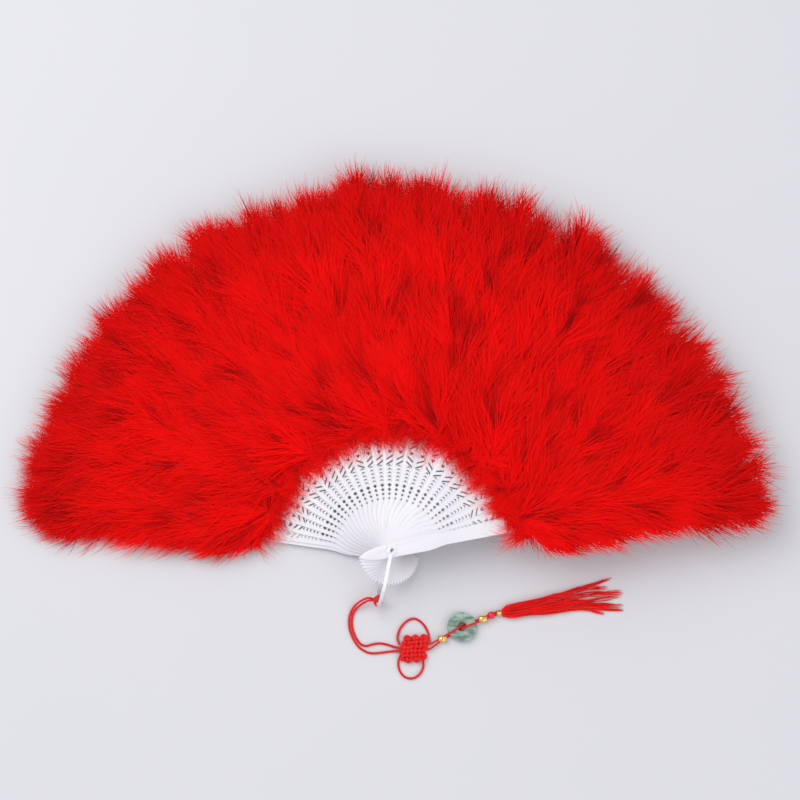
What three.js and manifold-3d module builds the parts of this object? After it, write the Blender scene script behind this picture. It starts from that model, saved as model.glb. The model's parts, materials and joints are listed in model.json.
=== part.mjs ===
// Folding feather fan, open and lying flat: pierced plastic sticks on one rivet, plumes, and a corded tassel.
// Millimetres and degrees. +Z is up along the rivet, and the origin is the centre of the rivet's foot.
// The sticks are stacked along the rivet like a spiral stair, so each one can turn past its neighbours.
import * as THREE from "three";
import { mergeVertices } from "three/addons/utils/BufferGeometryUtils.js";
import Module from "manifold-3d";

const wasm = await Module();
wasm.setup();

// The fan's spread, which opens a little wider from stick to stick towards the front guard
const ribCount = 26;
const frontGuardAngle = 13.0;
const backGuardAngle = 170.5;
const firstRibAngle = 169.1;
const firstPitchAngle = 5.2;
const pitchGrowthAngle = 0.034;
const sticksPerPlume = 2;

// The stack on the rivet
const ribThickness = 0.85;
const guardThickness = 1.4;
const layerGap = 0.15;

// Outline of a stick, as distances from the rivet and half widths there
const tailLength = 22.0;
const tailShoulderPlace = 16.0;
const tailShoulderHalfWidth = 2.9;
const tailBellyPlace = 8.5;
const tailBellyHalfWidth = 4.2;
const handlePlace = 24.0;
const handleHalfWidth = 5.4;
const waistPlace = 36.5;
const ribWaistHalfWidth = 2.85;
const guardWaistHalfWidth = 4.0;
const bladeEndPlace = 76.0;
const bladeEndHalfWidth = 5.3;
const sCurveSteps = 3;

// The thin end of a stick, which carries the feathers
const thinThickness = 0.35;
const guardThinThickness = 0.5;
const thinRootHalfWidth = 3.2;
const thinTipHalfWidth = 2.4;
const thinTipPlace = 95.0;
const thinRootOverlap = 1.0;

// Pierced pattern of a rib, from the handle outwards
const dotCount = 4;
const firstDotPlace = 34.8;
const dotSpacing = 2.9;
const firstDotRadius = 0.75;
const dotRadiusStep = 0.18;
const dotSides = 4;
const chevronCount = 5;
const firstChevronPlace = 46.2;
const chevronSpacing = 2.35;
const chevronHalfWidth = 1.5;
const chevronRise = 1.4;
const chevronStroke = 1.0;
const innerSlotPlace = 58.1;
const innerSlotSpacing = 3.4;
const outerSlotPlace = 69.4;
const outerSlotSpacing = 3.1;
const slotPairs = [
  { place: innerSlotPlace, slant: 1 },
  { place: innerSlotPlace + innerSlotSpacing, slant: 1 },
  { place: outerSlotPlace, slant: -1 },
  { place: outerSlotPlace + outerSlotSpacing, slant: -1 },
];
const slotHalfWidth = 2.1;
const slotRise = 2.9;
const slotStroke = 1.1;
const heartPlace = 65.2;
const heartHalfWidth = 1.35;
const heartHeight = 2.6;
const heartShoulderShare = 0.28;
const turnedRibs = [1, 2, 5, 6, 7, 12, 17, 19, 25];

// Rivet and bail
const pinRadius = 1.1;
const pinClearance = 0.25;
const rivetHeadRadius = 2.0;
const rivetHeadThickness = 0.8;
const rivetHeadEdge = 0.3;
const capDepth = 0.6;
const capClearance = 0.25;
const roundSides = 12;
const boreSides = 8;
const cutOverrun = 1.0;
const bailThickness = 1.0;
const bailWidth = 2.2;
const bailEyeRadius = 2.9;
const bailReach = 35.0;
const bailAngle = -101.0;
const bendSteps = 9;

// Plumes
const plumeRootGap = 0.5;
const plumeRootHalfWidth = 6.0;
const plumeTipPlace = 246.0;
const plumeHalfWidth = 35.0;
const plumeWidestShare = 0.66;
const plumeLobeCount = 5;
const plumeNotchDepth = 4.0;
const plumeTipNotchShare = 0.96;
const plumeTipHalfWidth = 1.0;
const plumeGlueGap = 0.05;
const plumeFreeGap = 2.0;
const plumeSwell = 5.5;
const plumeSwellLength = 28.0;
const plumeSagShare = 0.22;
const frontPlumeCrown = 1.6;
const firstPlumeBelly = 4.0;

// Cord, knot and what hangs on them
const cordRadius = 0.8;
const cordSides = 8;
const cordStep = 4.6;
const pendantStrandRadius = 0.55;
const pendantStrandOffset = 0.72;
const pendantStep = 2.2;
const floorGap = 0.05;
const seatGap = 0.3;
const hitchRadius = 3.1;
const hitchLength = 5.2;
const hitchWaistDepth = 0.5;
const hitchSides = 10;
const hitchBendAngle = -36.0;
const knotHalfSide = 7.8;
const knotThickness = 3.6;
const knotScallopDepth = 0.75;
const knotScallopsPerSide = 4;
const knotEdge = 0.5;
const knotTurn = 4.0;
const knotCentre = [18.2, -61.8];
const discRadius = 9.6;
const discHoleRadius = 2.9;
const discThickness = 2.6;
const discEdge = 0.45;
const discPlace = [49.5, -47.5];
const discSides = 24;
const goldBeadRadius = 2.4;
const goldBeadLength = 5.2;
const goldBeadGroove = 0.55;
const firstGoldBead = { place: [36.6, -55.2], heading: 31 };
const secondGoldBead = { place: [63.1, -42.3], heading: 24 };
const redBeadRadius = 2.5;
const redBead = { place: [68.7, -39.7], heading: 20 };
const capBeadRadius = 2.05;
const capBeadLength = 3.2;
const capBeadGroove = 0.25;
const capBead = { place: [73.8, -38.2], heading: 10 };
const roundBeadSteps = 4;
const beadSides = 10;
const tasselRings = 8;
const tasselSides = 16;
const tasselHeadHalfWidth = 1.7;
const tasselEndHalfWidth = 11.5;
const tasselHeadHalfHeight = 1.6;
const tasselBellyHalfHeight = 2.2;
const tasselEndHalfHeight = 0.9;
const tasselLobeDepth = 1.3;
const tasselLobes = 7;
const tasselEndSlant = 5.0;
const tasselEndWaves = 3;
const tasselBellyShare = 0.25;
const tasselSwell = 1.2;
const tasselSpreadPower = 1.4;

// Free stretches of cord, chosen by hand: x, y, z in millimetres
const outerStrandRoute = [
  [-9.5, -29.8, 6.9],
  [-12.4, -29.3, 6.4],
  [-16.2, -30.8, 4.9],
  [-19.5, -33.2, 3.0],
  [-21.7, -35.9, 1.6],
  [-23.3, -39.3, 0.95],
  [-24.1, -43.1, 0.85],
  [-24.0, -47.3, 0.85],
  [-23.0, -51.7, 0.85],
  [-20.9, -56.4, 0.85],
  [-17.9, -60.6, 0.85],
  [-14.2, -63.3, 0.85],
  [-10.6, -64.7, 0.85],
  [-6.4, -64.8, 0.85],
  [-2.0, -64.3, 0.85],
  [2.4, -63.7, 0.9],
  [6.2, -63.3, 1.3],
  [9.0, -63.1, 1.7],
];
const innerStrandRoute = [
  [-9.5, -31.0, 8.4],
  [-12.3, -31.1, 7.6],
  [-15.4, -32.6, 5.4],
  [-18.1, -34.6, 3.0],
  [-20.1, -36.9, 1.6],
  [-21.5, -39.9, 0.95],
  [-22.2, -43.3, 0.85],
  [-22.1, -47.1, 0.85],
  [-21.2, -51.1, 0.85],
  [-19.3, -55.3, 0.85],
  [-16.5, -58.9, 0.85],
  [-13.0, -60.1, 0.9],
  [-9.2, -59.2, 0.9],
  [-5.4, -58.5, 0.85],
  [-1.4, -58.7, 0.85],
  [2.2, -59.6, 0.9],
  [5.8, -60.7, 1.3],
  [9.0, -61.2, 1.7],
];
const upperEarRoute = [
  [8.1, -57.6, 1.8],
  [7.6, -56.2, 1.2],
  [7.7, -53.2, 0.85],
  [9.1, -49.1, 0.85],
  [12.1, -45.2, 0.85],
  [15.6, -42.8, 0.85],
  [19.0, -42.3, 0.85],
  [22.5, -44.0, 0.85],
  [25.3, -47.0, 0.85],
  [27.2, -50.4, 0.85],
  [27.9, -53.2, 1.2],
  [28.1, -55.6, 1.8],
];
const lowerEarRoute = [
  [8.9, -67.4, 1.9],
  [8.2, -69.2, 1.2],
  [8.1, -72.6, 0.85],
  [8.9, -75.8, 0.85],
  [10.7, -78.7, 0.85],
  [13.2, -80.5, 0.85],
  [16.2, -81.1, 0.85],
  [19.5, -80.2, 0.85],
  [22.2, -78.0, 0.85],
  [23.9, -75.0, 0.85],
  [24.4, -72.6, 1.1],
  [24.3, -71.0, 1.7],
];
const upperPendantRoute = [
  [27.2, -58.8, 1.9],
  [29.2, -58.2, 2.1],
  [31.4, -57.3, 2.35],
  [34.0, -55.9, 2.45],
  [36.2, -54.6, 2.45],
  [38.3, -53.3, 2.45],
  [39.7, -52.5, 3.4],
  [40.7, -51.9, 4.6],
  [41.7, -51.3, 5.05],
  [43.7, -50.1, 5.1],
  [45.7, -48.9, 5.05],
  [47.4, -47.9, 4.45],
  [49.2, -46.9, 2.75],
  [51.1, -46.1, 1.1],
  [53.0, -45.4, 0.6],
  [55.1, -44.6, 0.6],
  [57.3, -43.8, 0.6],
  [58.4, -43.3, 0.95],
  [59.5, -42.9, 1.9],
  [60.8, -42.5, 2.45],
  [62.8, -41.6, 2.45],
  [65.0, -40.7, 2.45],
  [67.0, -39.5, 2.5],
  [69.9, -38.5, 2.5],
  [72.1, -37.8, 2.1],
  [75.4, -37.3, 2.1],
];
const lowerPendantRoute = [
  [27.2, -62.2, 1.9],
  [29.0, -61.6, 2.1],
  [31.8, -59.6, 2.35],
  [34.7, -57.2, 2.45],
  [37.0, -55.8, 2.45],
  [39.0, -54.6, 2.45],
  [40.4, -53.8, 1.8],
  [41.5, -53.1, 0.95],
  [42.5, -52.5, 0.6],
  [44.5, -51.3, 0.6],
  [46.4, -50.2, 0.6],
  [48.2, -49.1, 1.1],
  [49.8, -48.1, 2.8],
  [51.6, -47.5, 4.5],
  [53.5, -46.7, 5.05],
  [55.6, -45.9, 5.1],
  [57.8, -45.1, 5.05],
  [58.9, -44.7, 4.6],
  [60.0, -44.2, 3.6],
  [61.4, -43.9, 2.5],
  [63.4, -43.0, 2.45],
  [65.6, -42.0, 2.45],
  [67.5, -40.9, 2.5],
  [70.4, -39.9, 2.5],
  [72.3, -39.2, 2.1],
  [75.4, -38.7, 2.1],
];
const tasselRoute = [
  [75.9, -37.8, 2.1],
  [84.4, -37.3, 2.3],
  [100.0, -35.4, 2.0],
  [118.0, -32.9, 1.8],
  [137.0, -29.8, 1.4],
  [153.0, -28.6, 1.1],
];

// Places that follow from the sizes above
const layerPitch = ribThickness + layerGap;
const bailLevel = rivetHeadThickness + layerGap;
const backGuardLevel = bailLevel + bailThickness + layerGap;
const firstRibLevel = backGuardLevel + guardThickness + layerGap;
const frontGuardLevel = firstRibLevel + ribCount * layerPitch;
const upperEyeLevel = frontGuardLevel + guardThickness + layerGap;
const rivetCapLevel = upperEyeLevel + bailThickness + layerGap;
const boreRadius = pinRadius + pinClearance;
const beadBoreRadius = pendantStrandOffset + pendantStrandRadius + seatGap;
const discLevel = floorGap + 2 * pendantStrandRadius + seatGap;
const plumeRootPlace = bladeEndPlace + plumeRootGap;
const plumeLength = plumeTipPlace - plumeRootPlace;
const plumeWidestPlace = plumeRootPlace + plumeLength * plumeWidestShare;
const plumeFreePlace = thinTipPlace + plumeFreeGap;
const ribLevel = (number) => firstRibLevel + (number - 1) * layerPitch;
const ribAngle = (number) => {
  const steps = number - 1;
  return firstRibAngle - steps * (firstPitchAngle + steps * pitchGrowthAngle);
};
const radians = THREE.MathUtils.degToRad;

const plastic = new THREE.MeshStandardMaterial({ color: 0xf6f5fb, roughness: 0.35, metalness: 0 });
const feather = new THREE.MeshStandardMaterial({ color: 0xd40a0c, roughness: 0.9, metalness: 0 });
const nickel = new THREE.MeshStandardMaterial({ color: 0xd8dade, roughness: 0.2, metalness: 1 });
const steel = new THREE.MeshStandardMaterial({ color: 0x9a9ca0, roughness: 0.35, metalness: 1 });
const cordRed = new THREE.MeshStandardMaterial({ color: 0xc8141c, roughness: 0.55, metalness: 0 });
const gold = new THREE.MeshStandardMaterial({ color: 0xe0a83c, roughness: 0.22, metalness: 1 });
const jade = new THREE.MeshStandardMaterial({ color: 0x8fb79c, roughness: 0.25, metalness: 0 });
const redGlass = new THREE.MeshStandardMaterial({ color: 0xb8101c, roughness: 0.15, metalness: 0 });

const fan = new THREE.Group();

function place(name, geometry, material, parent = fan) {
  const mesh = new THREE.Mesh(geometry, material);
  mesh.name = name;
  parent.add(mesh);
  return mesh;
}

// A closed mesh as a solid that can be joined and cut.
function solidOf(geometry) {
  const bare = new THREE.BufferGeometry();
  bare.setAttribute("position", geometry.getAttribute("position"));
  if (geometry.index) bare.setIndex(geometry.index);
  const merged = mergeVertices(bare);
  return new wasm.Manifold(
    new wasm.Mesh({
      numProp: 3,
      vertProperties: new Float32Array(merged.attributes.position.array),
      triVerts: new Uint32Array(merged.index.array),
    }),
  );
}

function geometryOf(solid) {
  const mesh = solid.getMesh();
  const geometry = new THREE.BufferGeometry();
  geometry.setAttribute("position", new THREE.BufferAttribute(mesh.vertProperties, 3));
  geometry.setIndex(new THREE.BufferAttribute(mesh.triVerts, 1));
  geometry.computeVertexNormals();
  return geometry;
}

const polygonPoints = (radius, sides, centreX = 0) =>
  Array.from({ length: sides }, (_, i) => {
    const turn = (i / sides) * 2 * Math.PI;
    return new THREE.Vector2(centreX + radius * Math.cos(turn), radius * Math.sin(turn));
  });

function extrude(shape, thickness) {
  return new THREE.ExtrudeGeometry(shape, { depth: thickness, bevelEnabled: false });
}

// A round piece about Z, from its half section as [radius, height] points.
function turned(profile, sides) {
  const points = profile.map(([radius, height]) => new THREE.Vector2(radius, height));
  return new THREE.LatheGeometry(points, sides).rotateX(radians(90));
}

const curveOf = (route) => new THREE.CatmullRomCurve3(route.map((point) => new THREE.Vector3(...point)));

// A closed solid through rings of points that run from the left over the top, seen from behind.
function loft(rings) {
  const sides = rings[0].length;
  const faces = [];
  for (let ring = 0; ring < rings.length - 1; ring += 1) {
    for (let i = 0; i < sides; i += 1) {
      const a = ring * sides + i;
      const b = ring * sides + ((i + 1) % sides);
      faces.push(a, b, a + sides, b, b + sides, a + sides);
    }
  }
  const last = (rings.length - 1) * sides;
  for (let i = 1; i < sides - 1; i += 1) {
    faces.push(0, i + 1, i);
    faces.push(last, last + i, last + i + 1);
  }
  const geometry = new THREE.BufferGeometry();
  geometry.setAttribute("position", new THREE.Float32BufferAttribute(rings.flat(2), 3));
  geometry.setIndex(faces);
  geometry.computeVertexNormals();
  return geometry;
}

function tube(route, radius, stepLength) {
  const curve = curveOf(route);
  return new THREE.ExtrudeGeometry(new THREE.Shape(polygonPoints(radius, cordSides)), {
    steps: Math.ceil(curve.getLength() / stepLength),
    extrudePath: curve,
    bevelEnabled: false,
  });
}

// One side of a stick's outline, from the point of its tail to the end of its thick part.
function stickSide(waistHalfWidth) {
  const side = [
    [-tailShoulderPlace, tailShoulderHalfWidth],
    [-tailBellyPlace, tailBellyHalfWidth],
    [handlePlace, handleHalfWidth],
  ];
  for (let i = 1; i <= sCurveSteps; i += 1) {
    const along = i / sCurveSteps;
    const eased = along * along * (3 - 2 * along);
    side.push([
      THREE.MathUtils.lerp(handlePlace, waistPlace, along),
      THREE.MathUtils.lerp(handleHalfWidth, waistHalfWidth, eased),
    ]);
  }
  side.push([bladeEndPlace, bladeEndHalfWidth]);
  return side;
}

function stickShape(waistHalfWidth) {
  const side = stickSide(waistHalfWidth);
  const outline = [new THREE.Vector2(-tailLength, 0)];
  side.forEach(([along, half]) => outline.push(new THREE.Vector2(along, -half)));
  side.reverse().forEach(([along, half]) => outline.push(new THREE.Vector2(along, half)));
  return new THREE.Shape(outline);
}

// A stick's solid with its bore and any other holes cut right through.
function stickSolid(waistHalfWidth, thickness, holes) {
  const bore = polygonPoints(boreRadius, boreSides);
  return [bore, ...holes].reduce((solid, outline) => {
    const cutter = extrude(new THREE.Shape(outline), thickness + 2 * cutOverrun);
    return solid.subtract(solidOf(cutter.translate(0, 0, -cutOverrun)));
  }, solidOf(extrude(stickShape(waistHalfWidth), thickness)));
}

// The thin end lies flush with the stick's lower or upper face.
function thinEnd(thickness, level) {
  const root = bladeEndPlace - thinRootOverlap;
  const shape = new THREE.Shape([
    new THREE.Vector2(root, -thinRootHalfWidth),
    new THREE.Vector2(thinTipPlace, -thinTipHalfWidth),
    new THREE.Vector2(thinTipPlace, thinTipHalfWidth),
    new THREE.Vector2(root, thinRootHalfWidth),
  ]);
  return extrude(shape, thickness).translate(0, 0, level);
}

function chevronHole(along) {
  return [
    new THREE.Vector2(along + chevronRise, 0),
    new THREE.Vector2(along, chevronHalfWidth),
    new THREE.Vector2(along + chevronRise - chevronStroke, 0),
    new THREE.Vector2(along, -chevronHalfWidth),
  ];
}

function slotHole(along, slant) {
  const reach = (slotRise * slant) / 2;
  const half = slotStroke / 2;
  return [
    new THREE.Vector2(along - reach - half, slotHalfWidth),
    new THREE.Vector2(along + reach - half, -slotHalfWidth),
    new THREE.Vector2(along + reach + half, -slotHalfWidth),
    new THREE.Vector2(along - reach + half, slotHalfWidth),
  ];
}

function heartHole(along) {
  const top = along + heartHeight / 2;
  const shoulder = heartHeight * heartShoulderShare;
  return [
    new THREE.Vector2(along - heartHeight / 2, 0),
    new THREE.Vector2(top - shoulder, -heartHalfWidth),
    new THREE.Vector2(top, -heartHalfWidth / 2),
    new THREE.Vector2(top - shoulder, 0),
    new THREE.Vector2(top, heartHalfWidth / 2),
    new THREE.Vector2(top - shoulder, heartHalfWidth),
  ];
}

function ribGeometry(isTurned, thinOnTop) {
  const holes = [heartHole(heartPlace)];
  for (let i = 0; i < dotCount; i += 1) {
    holes.push(polygonPoints(firstDotRadius + i * dotRadiusStep, dotSides, firstDotPlace + i * dotSpacing));
  }
  for (let i = 0; i < chevronCount; i += 1) holes.push(chevronHole(firstChevronPlace + i * chevronSpacing));
  slotPairs.forEach(({ place: along, slant }) => holes.push(slotHole(along, isTurned ? -slant : slant)));
  const level = thinOnTop ? ribThickness - thinThickness : 0;
  const thick = stickSolid(ribWaistHalfWidth, ribThickness, holes);
  return geometryOf(thick.add(solidOf(thinEnd(thinThickness, level))));
}

function guardGeometry() {
  const thick = stickSolid(guardWaistHalfWidth, guardThickness, []);
  return geometryOf(thick.add(solidOf(thinEnd(guardThinThickness, 0))));
}

function plumeHalfWidthAt(along) {
  if (along < plumeWidestPlace) {
    const share = (along - plumeRootPlace) / (plumeWidestPlace - plumeRootPlace);
    return THREE.MathUtils.lerp(plumeRootHalfWidth, plumeHalfWidth, Math.sin((share * Math.PI) / 2));
  }
  const share = (along - plumeWidestPlace) / (plumeTipPlace - plumeWidestPlace);
  return plumeHalfWidth * Math.sqrt(1 - share * share);
}

// Places and half widths along a plume, with the notches where its barbs part.
function plumeStations() {
  const stations = [
    [plumeRootPlace, plumeRootHalfWidth],
    [plumeFreePlace, plumeHalfWidthAt(plumeFreePlace)],
    [plumeTipPlace, plumeTipHalfWidth],
  ];
  const lobeLength = (plumeLength * plumeTipNotchShare) / plumeLobeCount;
  for (let i = 1; i <= plumeLobeCount; i += 1) {
    const notch = plumeRootPlace + (i - 1 / 2) * lobeLength;
    const lobe = plumeRootPlace + i * lobeLength;
    stations.push([notch, plumeHalfWidthAt(notch) - (plumeNotchDepth * i) / plumeLobeCount]);
    stations.push([lobe, plumeHalfWidthAt(lobe)]);
  }
  return stations.sort(([first], [second]) => first - second);
}

// A plume is one feather blade. Past its stick's thin end it swells up and then sags. Both follow the
// distance from the rivet alone, so plumes that turn on it stay clear of each other.
function plumeGeometry(thickness, sag, crown = 0, belly = 0) {
  const swellStart = Math.hypot(plumeFreePlace, plumeHalfWidthAt(plumeFreePlace));
  const past = (along, across) => Math.max(0, Math.hypot(along, across) - swellStart);
  const pastShare = (along, across) => past(along, across) / (plumeTipPlace - swellStart);
  const rise = (along, across) => {
    const swelled = Math.min(1, past(along, across) / plumeSwellLength);
    return plumeSwell * Math.sin((swelled * Math.PI) / 2) - sag * pastShare(along, across) ** 2;
  };
  const rings = plumeStations().map(([along, half]) => {
    const side = rise(along, half);
    const right = [[along, -half, side + thickness], [along, -half, side]];
    const left = [[along, half, side], [along, half, side + thickness]];
    if (crown === 0 && belly === 0) return [...right, ...left];
    const bulge = Math.sin(Math.PI * pastShare(along, 0));
    const middle = rise(along, 0);
    const top = [along, 0, middle + thickness + crown * bulge];
    return [top, ...right, [along, 0, middle - belly * bulge], ...left];
  });
  return loft(rings);
}

function addSticks() {
  const ribs = new Map();
  for (let number = 1; number <= ribCount; number += 1) {
    const isTurned = turnedRibs.includes(number);
    const thinOnTop = number % sticksPerPlume === 0;
    const kind = `${isTurned} ${thinOnTop}`;
    if (!ribs.has(kind)) ribs.set(kind, ribGeometry(isTurned, thinOnTop));
    const rib = place(`rib_${String(number).padStart(2, "0")}`, ribs.get(kind), plastic);
    rib.position.z = ribLevel(number);
    rib.rotation.z = radians(ribAngle(number));
  }
  const guard = guardGeometry();
  const back = place("back_guard", guard, plastic);
  back.position.z = backGuardLevel;
  back.rotation.z = radians(backGuardAngle);
  const front = place("front_guard", guard, plastic);
  front.position.z = frontGuardLevel;
  front.rotation.z = radians(frontGuardAngle);
}

// Each plume fills the room between its own rib's thin end and the thin end of the rib after it. Only the
// lowest plume has room for a belly, and only the front one for a crown.
function addPlumes() {
  const seat = thinThickness + plumeGlueGap;
  const nextThinEnd = layerPitch + ribThickness - thinThickness;
  const thickness = nextThinEnd - layerGap - seat;
  for (let number = 1; number <= ribCount; number += sticksPerPlume) {
    const level = ribLevel(number) + seat;
    const blade = plumeGeometry(thickness, plumeSagShare * level, 0, number === 1 ? firstPlumeBelly : 0);
    const plume = place(`plume_${String(number).padStart(2, "0")}`, blade, feather);
    plume.position.z = level;
    plume.rotation.z = radians(ribAngle(number));
  }
  const level = frontGuardLevel + guardThinThickness + plumeGlueGap;
  const blade = plumeGeometry(thickness, plumeSagShare * level, frontPlumeCrown);
  const front = place("plume_front", blade, feather);
  front.position.z = level;
  front.rotation.z = radians(frontGuardAngle);
}

// The rivet's pin ends inside the cap, which is closed over it.
function addRivet() {
  const pinTop = rivetCapLevel + capDepth - capClearance;
  const foot = turned(
    [
      [0, 0],
      [rivetHeadRadius - rivetHeadEdge, 0],
      [rivetHeadRadius, rivetHeadEdge],
      [rivetHeadRadius, rivetHeadThickness],
      [pinRadius, rivetHeadThickness],
      [pinRadius, pinTop],
      [0, pinTop],
    ],
    roundSides,
  );
  place("pivot_rivet", foot, steel);
  const socket = pinRadius + capClearance;
  const capTop = capDepth + rivetHeadThickness;
  const cap = turned(
    [
      [0, capDepth],
      [socket, capDepth],
      [socket, 0],
      [rivetHeadRadius, 0],
      [rivetHeadRadius, capTop - rivetHeadEdge],
      [rivetHeadRadius - rivetHeadEdge, capTop],
      [0, capTop],
    ],
    roundSides,
  );
  place("rivet_cap", cap, steel).position.z = rivetCapLevel;
}

// The bail is a strip bent to a U, seen here as distance from the rivet across and height up.
const bendRadius = (upperEyeLevel + bailThickness - bailLevel) / 2;
const bendCentre = { along: bailReach - bendRadius, height: bailLevel + bendRadius };

function addBail() {
  const shape = new THREE.Shape();
  const inner = bendRadius - bailThickness;
  shape.moveTo(0, bailLevel);
  shape.lineTo(bendCentre.along, bailLevel);
  shape.absarc(bendCentre.along, bendCentre.height, bendRadius, -Math.PI / 2, Math.PI / 2, false);
  shape.lineTo(0, bailLevel + 2 * bendRadius);
  shape.lineTo(0, bendCentre.height + inner);
  shape.lineTo(bendCentre.along, bendCentre.height + inner);
  shape.absarc(bendCentre.along, bendCentre.height, inner, Math.PI / 2, -Math.PI / 2, true);
  shape.lineTo(0, bendCentre.height - inner);
  const strip = new THREE.ExtrudeGeometry(shape, {
    depth: bailWidth,
    bevelEnabled: false,
    curveSegments: bendSteps,
  });
  strip.rotateX(radians(90)).translate(0, bailWidth / 2, 0);
  const eye = (level) => extrude(new THREE.Shape(polygonPoints(bailEyeRadius, roundSides)), bailThickness)
    .translate(0, 0, level);
  const bore = extrude(new THREE.Shape(polygonPoints(boreRadius, boreSides)), rivetCapLevel);
  const solid = solidOf(strip)
    .add(solidOf(eye(bailLevel)))
    .add(solidOf(eye(upperEyeLevel)))
    .subtract(solidOf(bore));
  place("bail", geometryOf(solid), nickel).rotation.z = radians(bailAngle);
}

// The cord's hitch is two turns side by side round the bend of the bail.
function addHitch() {
  const hitch = new THREE.Group();
  hitch.rotation.z = radians(bailAngle);
  fan.add(hitch);
  const half = hitchLength / 2;
  const slotReach = Math.hypot(bailWidth, bailThickness) / 2 + seatGap;
  const slotRadius = slotReach / Math.cos(Math.PI / hitchSides);
  const ring = turned(
    [
      [slotRadius, -half],
      [hitchRadius - hitchWaistDepth, -half],
      [hitchRadius, -half / 2],
      [hitchRadius - hitchWaistDepth, 0],
      [hitchRadius, half / 2],
      [hitchRadius - hitchWaistDepth, half],
      [slotRadius, half],
      [slotRadius, -half],
    ],
    hitchSides,
  );
  const turn = radians(hitchBendAngle);
  const middle = bendRadius - bailThickness / 2;
  const knot = place("cord_hitch", ring, cordRed, hitch);
  knot.rotation.y = -turn;
  const centreAlong = bendCentre.along + middle * Math.cos(turn);
  knot.position.set(centreAlong, 0, bendCentre.height + middle * Math.sin(turn));
}

function addCords() {
  place("cord_strand_outer", tube(outerStrandRoute, cordRadius, cordStep), cordRed);
  place("cord_strand_inner", tube(innerStrandRoute, cordRadius, cordStep), cordRed);
  place("knot_ear_upper", tube(upperEarRoute, cordRadius, cordStep), cordRed);
  place("knot_ear_lower", tube(lowerEarRoute, cordRadius, cordStep), cordRed);
  place("pendant_strand_upper", tube(upperPendantRoute, pendantStrandRadius, pendantStep), cordRed);
  place("pendant_strand_lower", tube(lowerPendantRoute, pendantStrandRadius, pendantStep), cordRed);
}

// The square body of the knot, with a scallop for each loop of cord that turns back at its edge.
function addKnot() {
  const outline = [];
  const scallop = (2 * knotHalfSide) / knotScallopsPerSide;
  for (let side = 0; side < 4; side += 1) {
    const turn = (side * Math.PI) / 2;
    for (let i = 0; i < knotScallopsPerSide; i += 1) {
      const start = -knotHalfSide + i * scallop;
      [0, 1 / 4, 3 / 4].forEach((share) => {
        const bulge = share > 0 ? knotScallopDepth : 0;
        outline.push(new THREE.Vector2(start + share * scallop, -knotHalfSide - bulge).rotateAround(
          new THREE.Vector2(),
          turn,
        ));
      });
    }
  }
  const body = new THREE.ExtrudeGeometry(new THREE.Shape(outline), {
    depth: knotThickness - 2 * knotEdge,
    bevelThickness: knotEdge,
    bevelSize: knotEdge,
    bevelOffset: -knotEdge,
    bevelSegments: 1,
  });
  const knot = place("knot_body", body, cordRed);
  knot.position.set(knotCentre[0], knotCentre[1], floorGap + knotEdge);
  knot.rotation.z = radians(knotTurn);
}

// Threads a bead on the pendant's two strands, where it lies on its side on the floor.
function thread(name, geometry, material, radius, { place: [x, y], heading }) {
  const bead = place(name, geometry, material);
  bead.position.set(x, y, floorGap + radius);
  bead.rotation.set(0, radians(90), radians(heading), "ZYX");
}

// A metal spacer bead: two flared rims round a grooved barrel.
function spacerBead(radius, length, groove) {
  const half = length / 2;
  const neck = radius - groove;
  return turned(
    [
      [beadBoreRadius, -half],
      [neck, -half],
      [radius, -half / 2],
      [neck, 0],
      [radius, half / 2],
      [neck, half],
      [beadBoreRadius, half],
      [beadBoreRadius, -half],
    ],
    beadSides,
  );
}

function roundBead(radius) {
  const open = Math.asin(beadBoreRadius / radius);
  const profile = [];
  for (let i = 0; i <= roundBeadSteps; i += 1) {
    const turn = THREE.MathUtils.lerp(open, Math.PI - open, i / roundBeadSteps);
    profile.push([radius * Math.sin(turn), -radius * Math.cos(turn)]);
  }
  profile.push(profile[0]);
  return turned(profile, beadSides);
}

function addPendant() {
  const spacer = spacerBead(goldBeadRadius, goldBeadLength, goldBeadGroove);
  thread("gold_bead_1", spacer, gold, goldBeadRadius, firstGoldBead);
  thread("gold_bead_2", spacer, gold, goldBeadRadius, secondGoldBead);
  thread("red_bead", roundBead(redBeadRadius), redGlass, redBeadRadius, redBead);
  const cap = spacerBead(capBeadRadius, capBeadLength, capBeadGroove);
  thread("gold_bead_3", cap, gold, capBeadRadius, capBead);
  const profile = [
    [discHoleRadius + discEdge, 0],
    [discRadius - discEdge, 0],
    [discRadius, discEdge],
    [discRadius, discThickness - discEdge],
    [discRadius - discEdge, discThickness],
    [discHoleRadius + discEdge, discThickness],
    [discHoleRadius, discThickness - discEdge],
    [discHoleRadius, discEdge],
    [discHoleRadius + discEdge, 0],
  ];
  const disc = place("jade_disc", turned(profile, discSides), jade);
  disc.position.set(discPlace[0], discPlace[1], discLevel);
}

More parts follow.
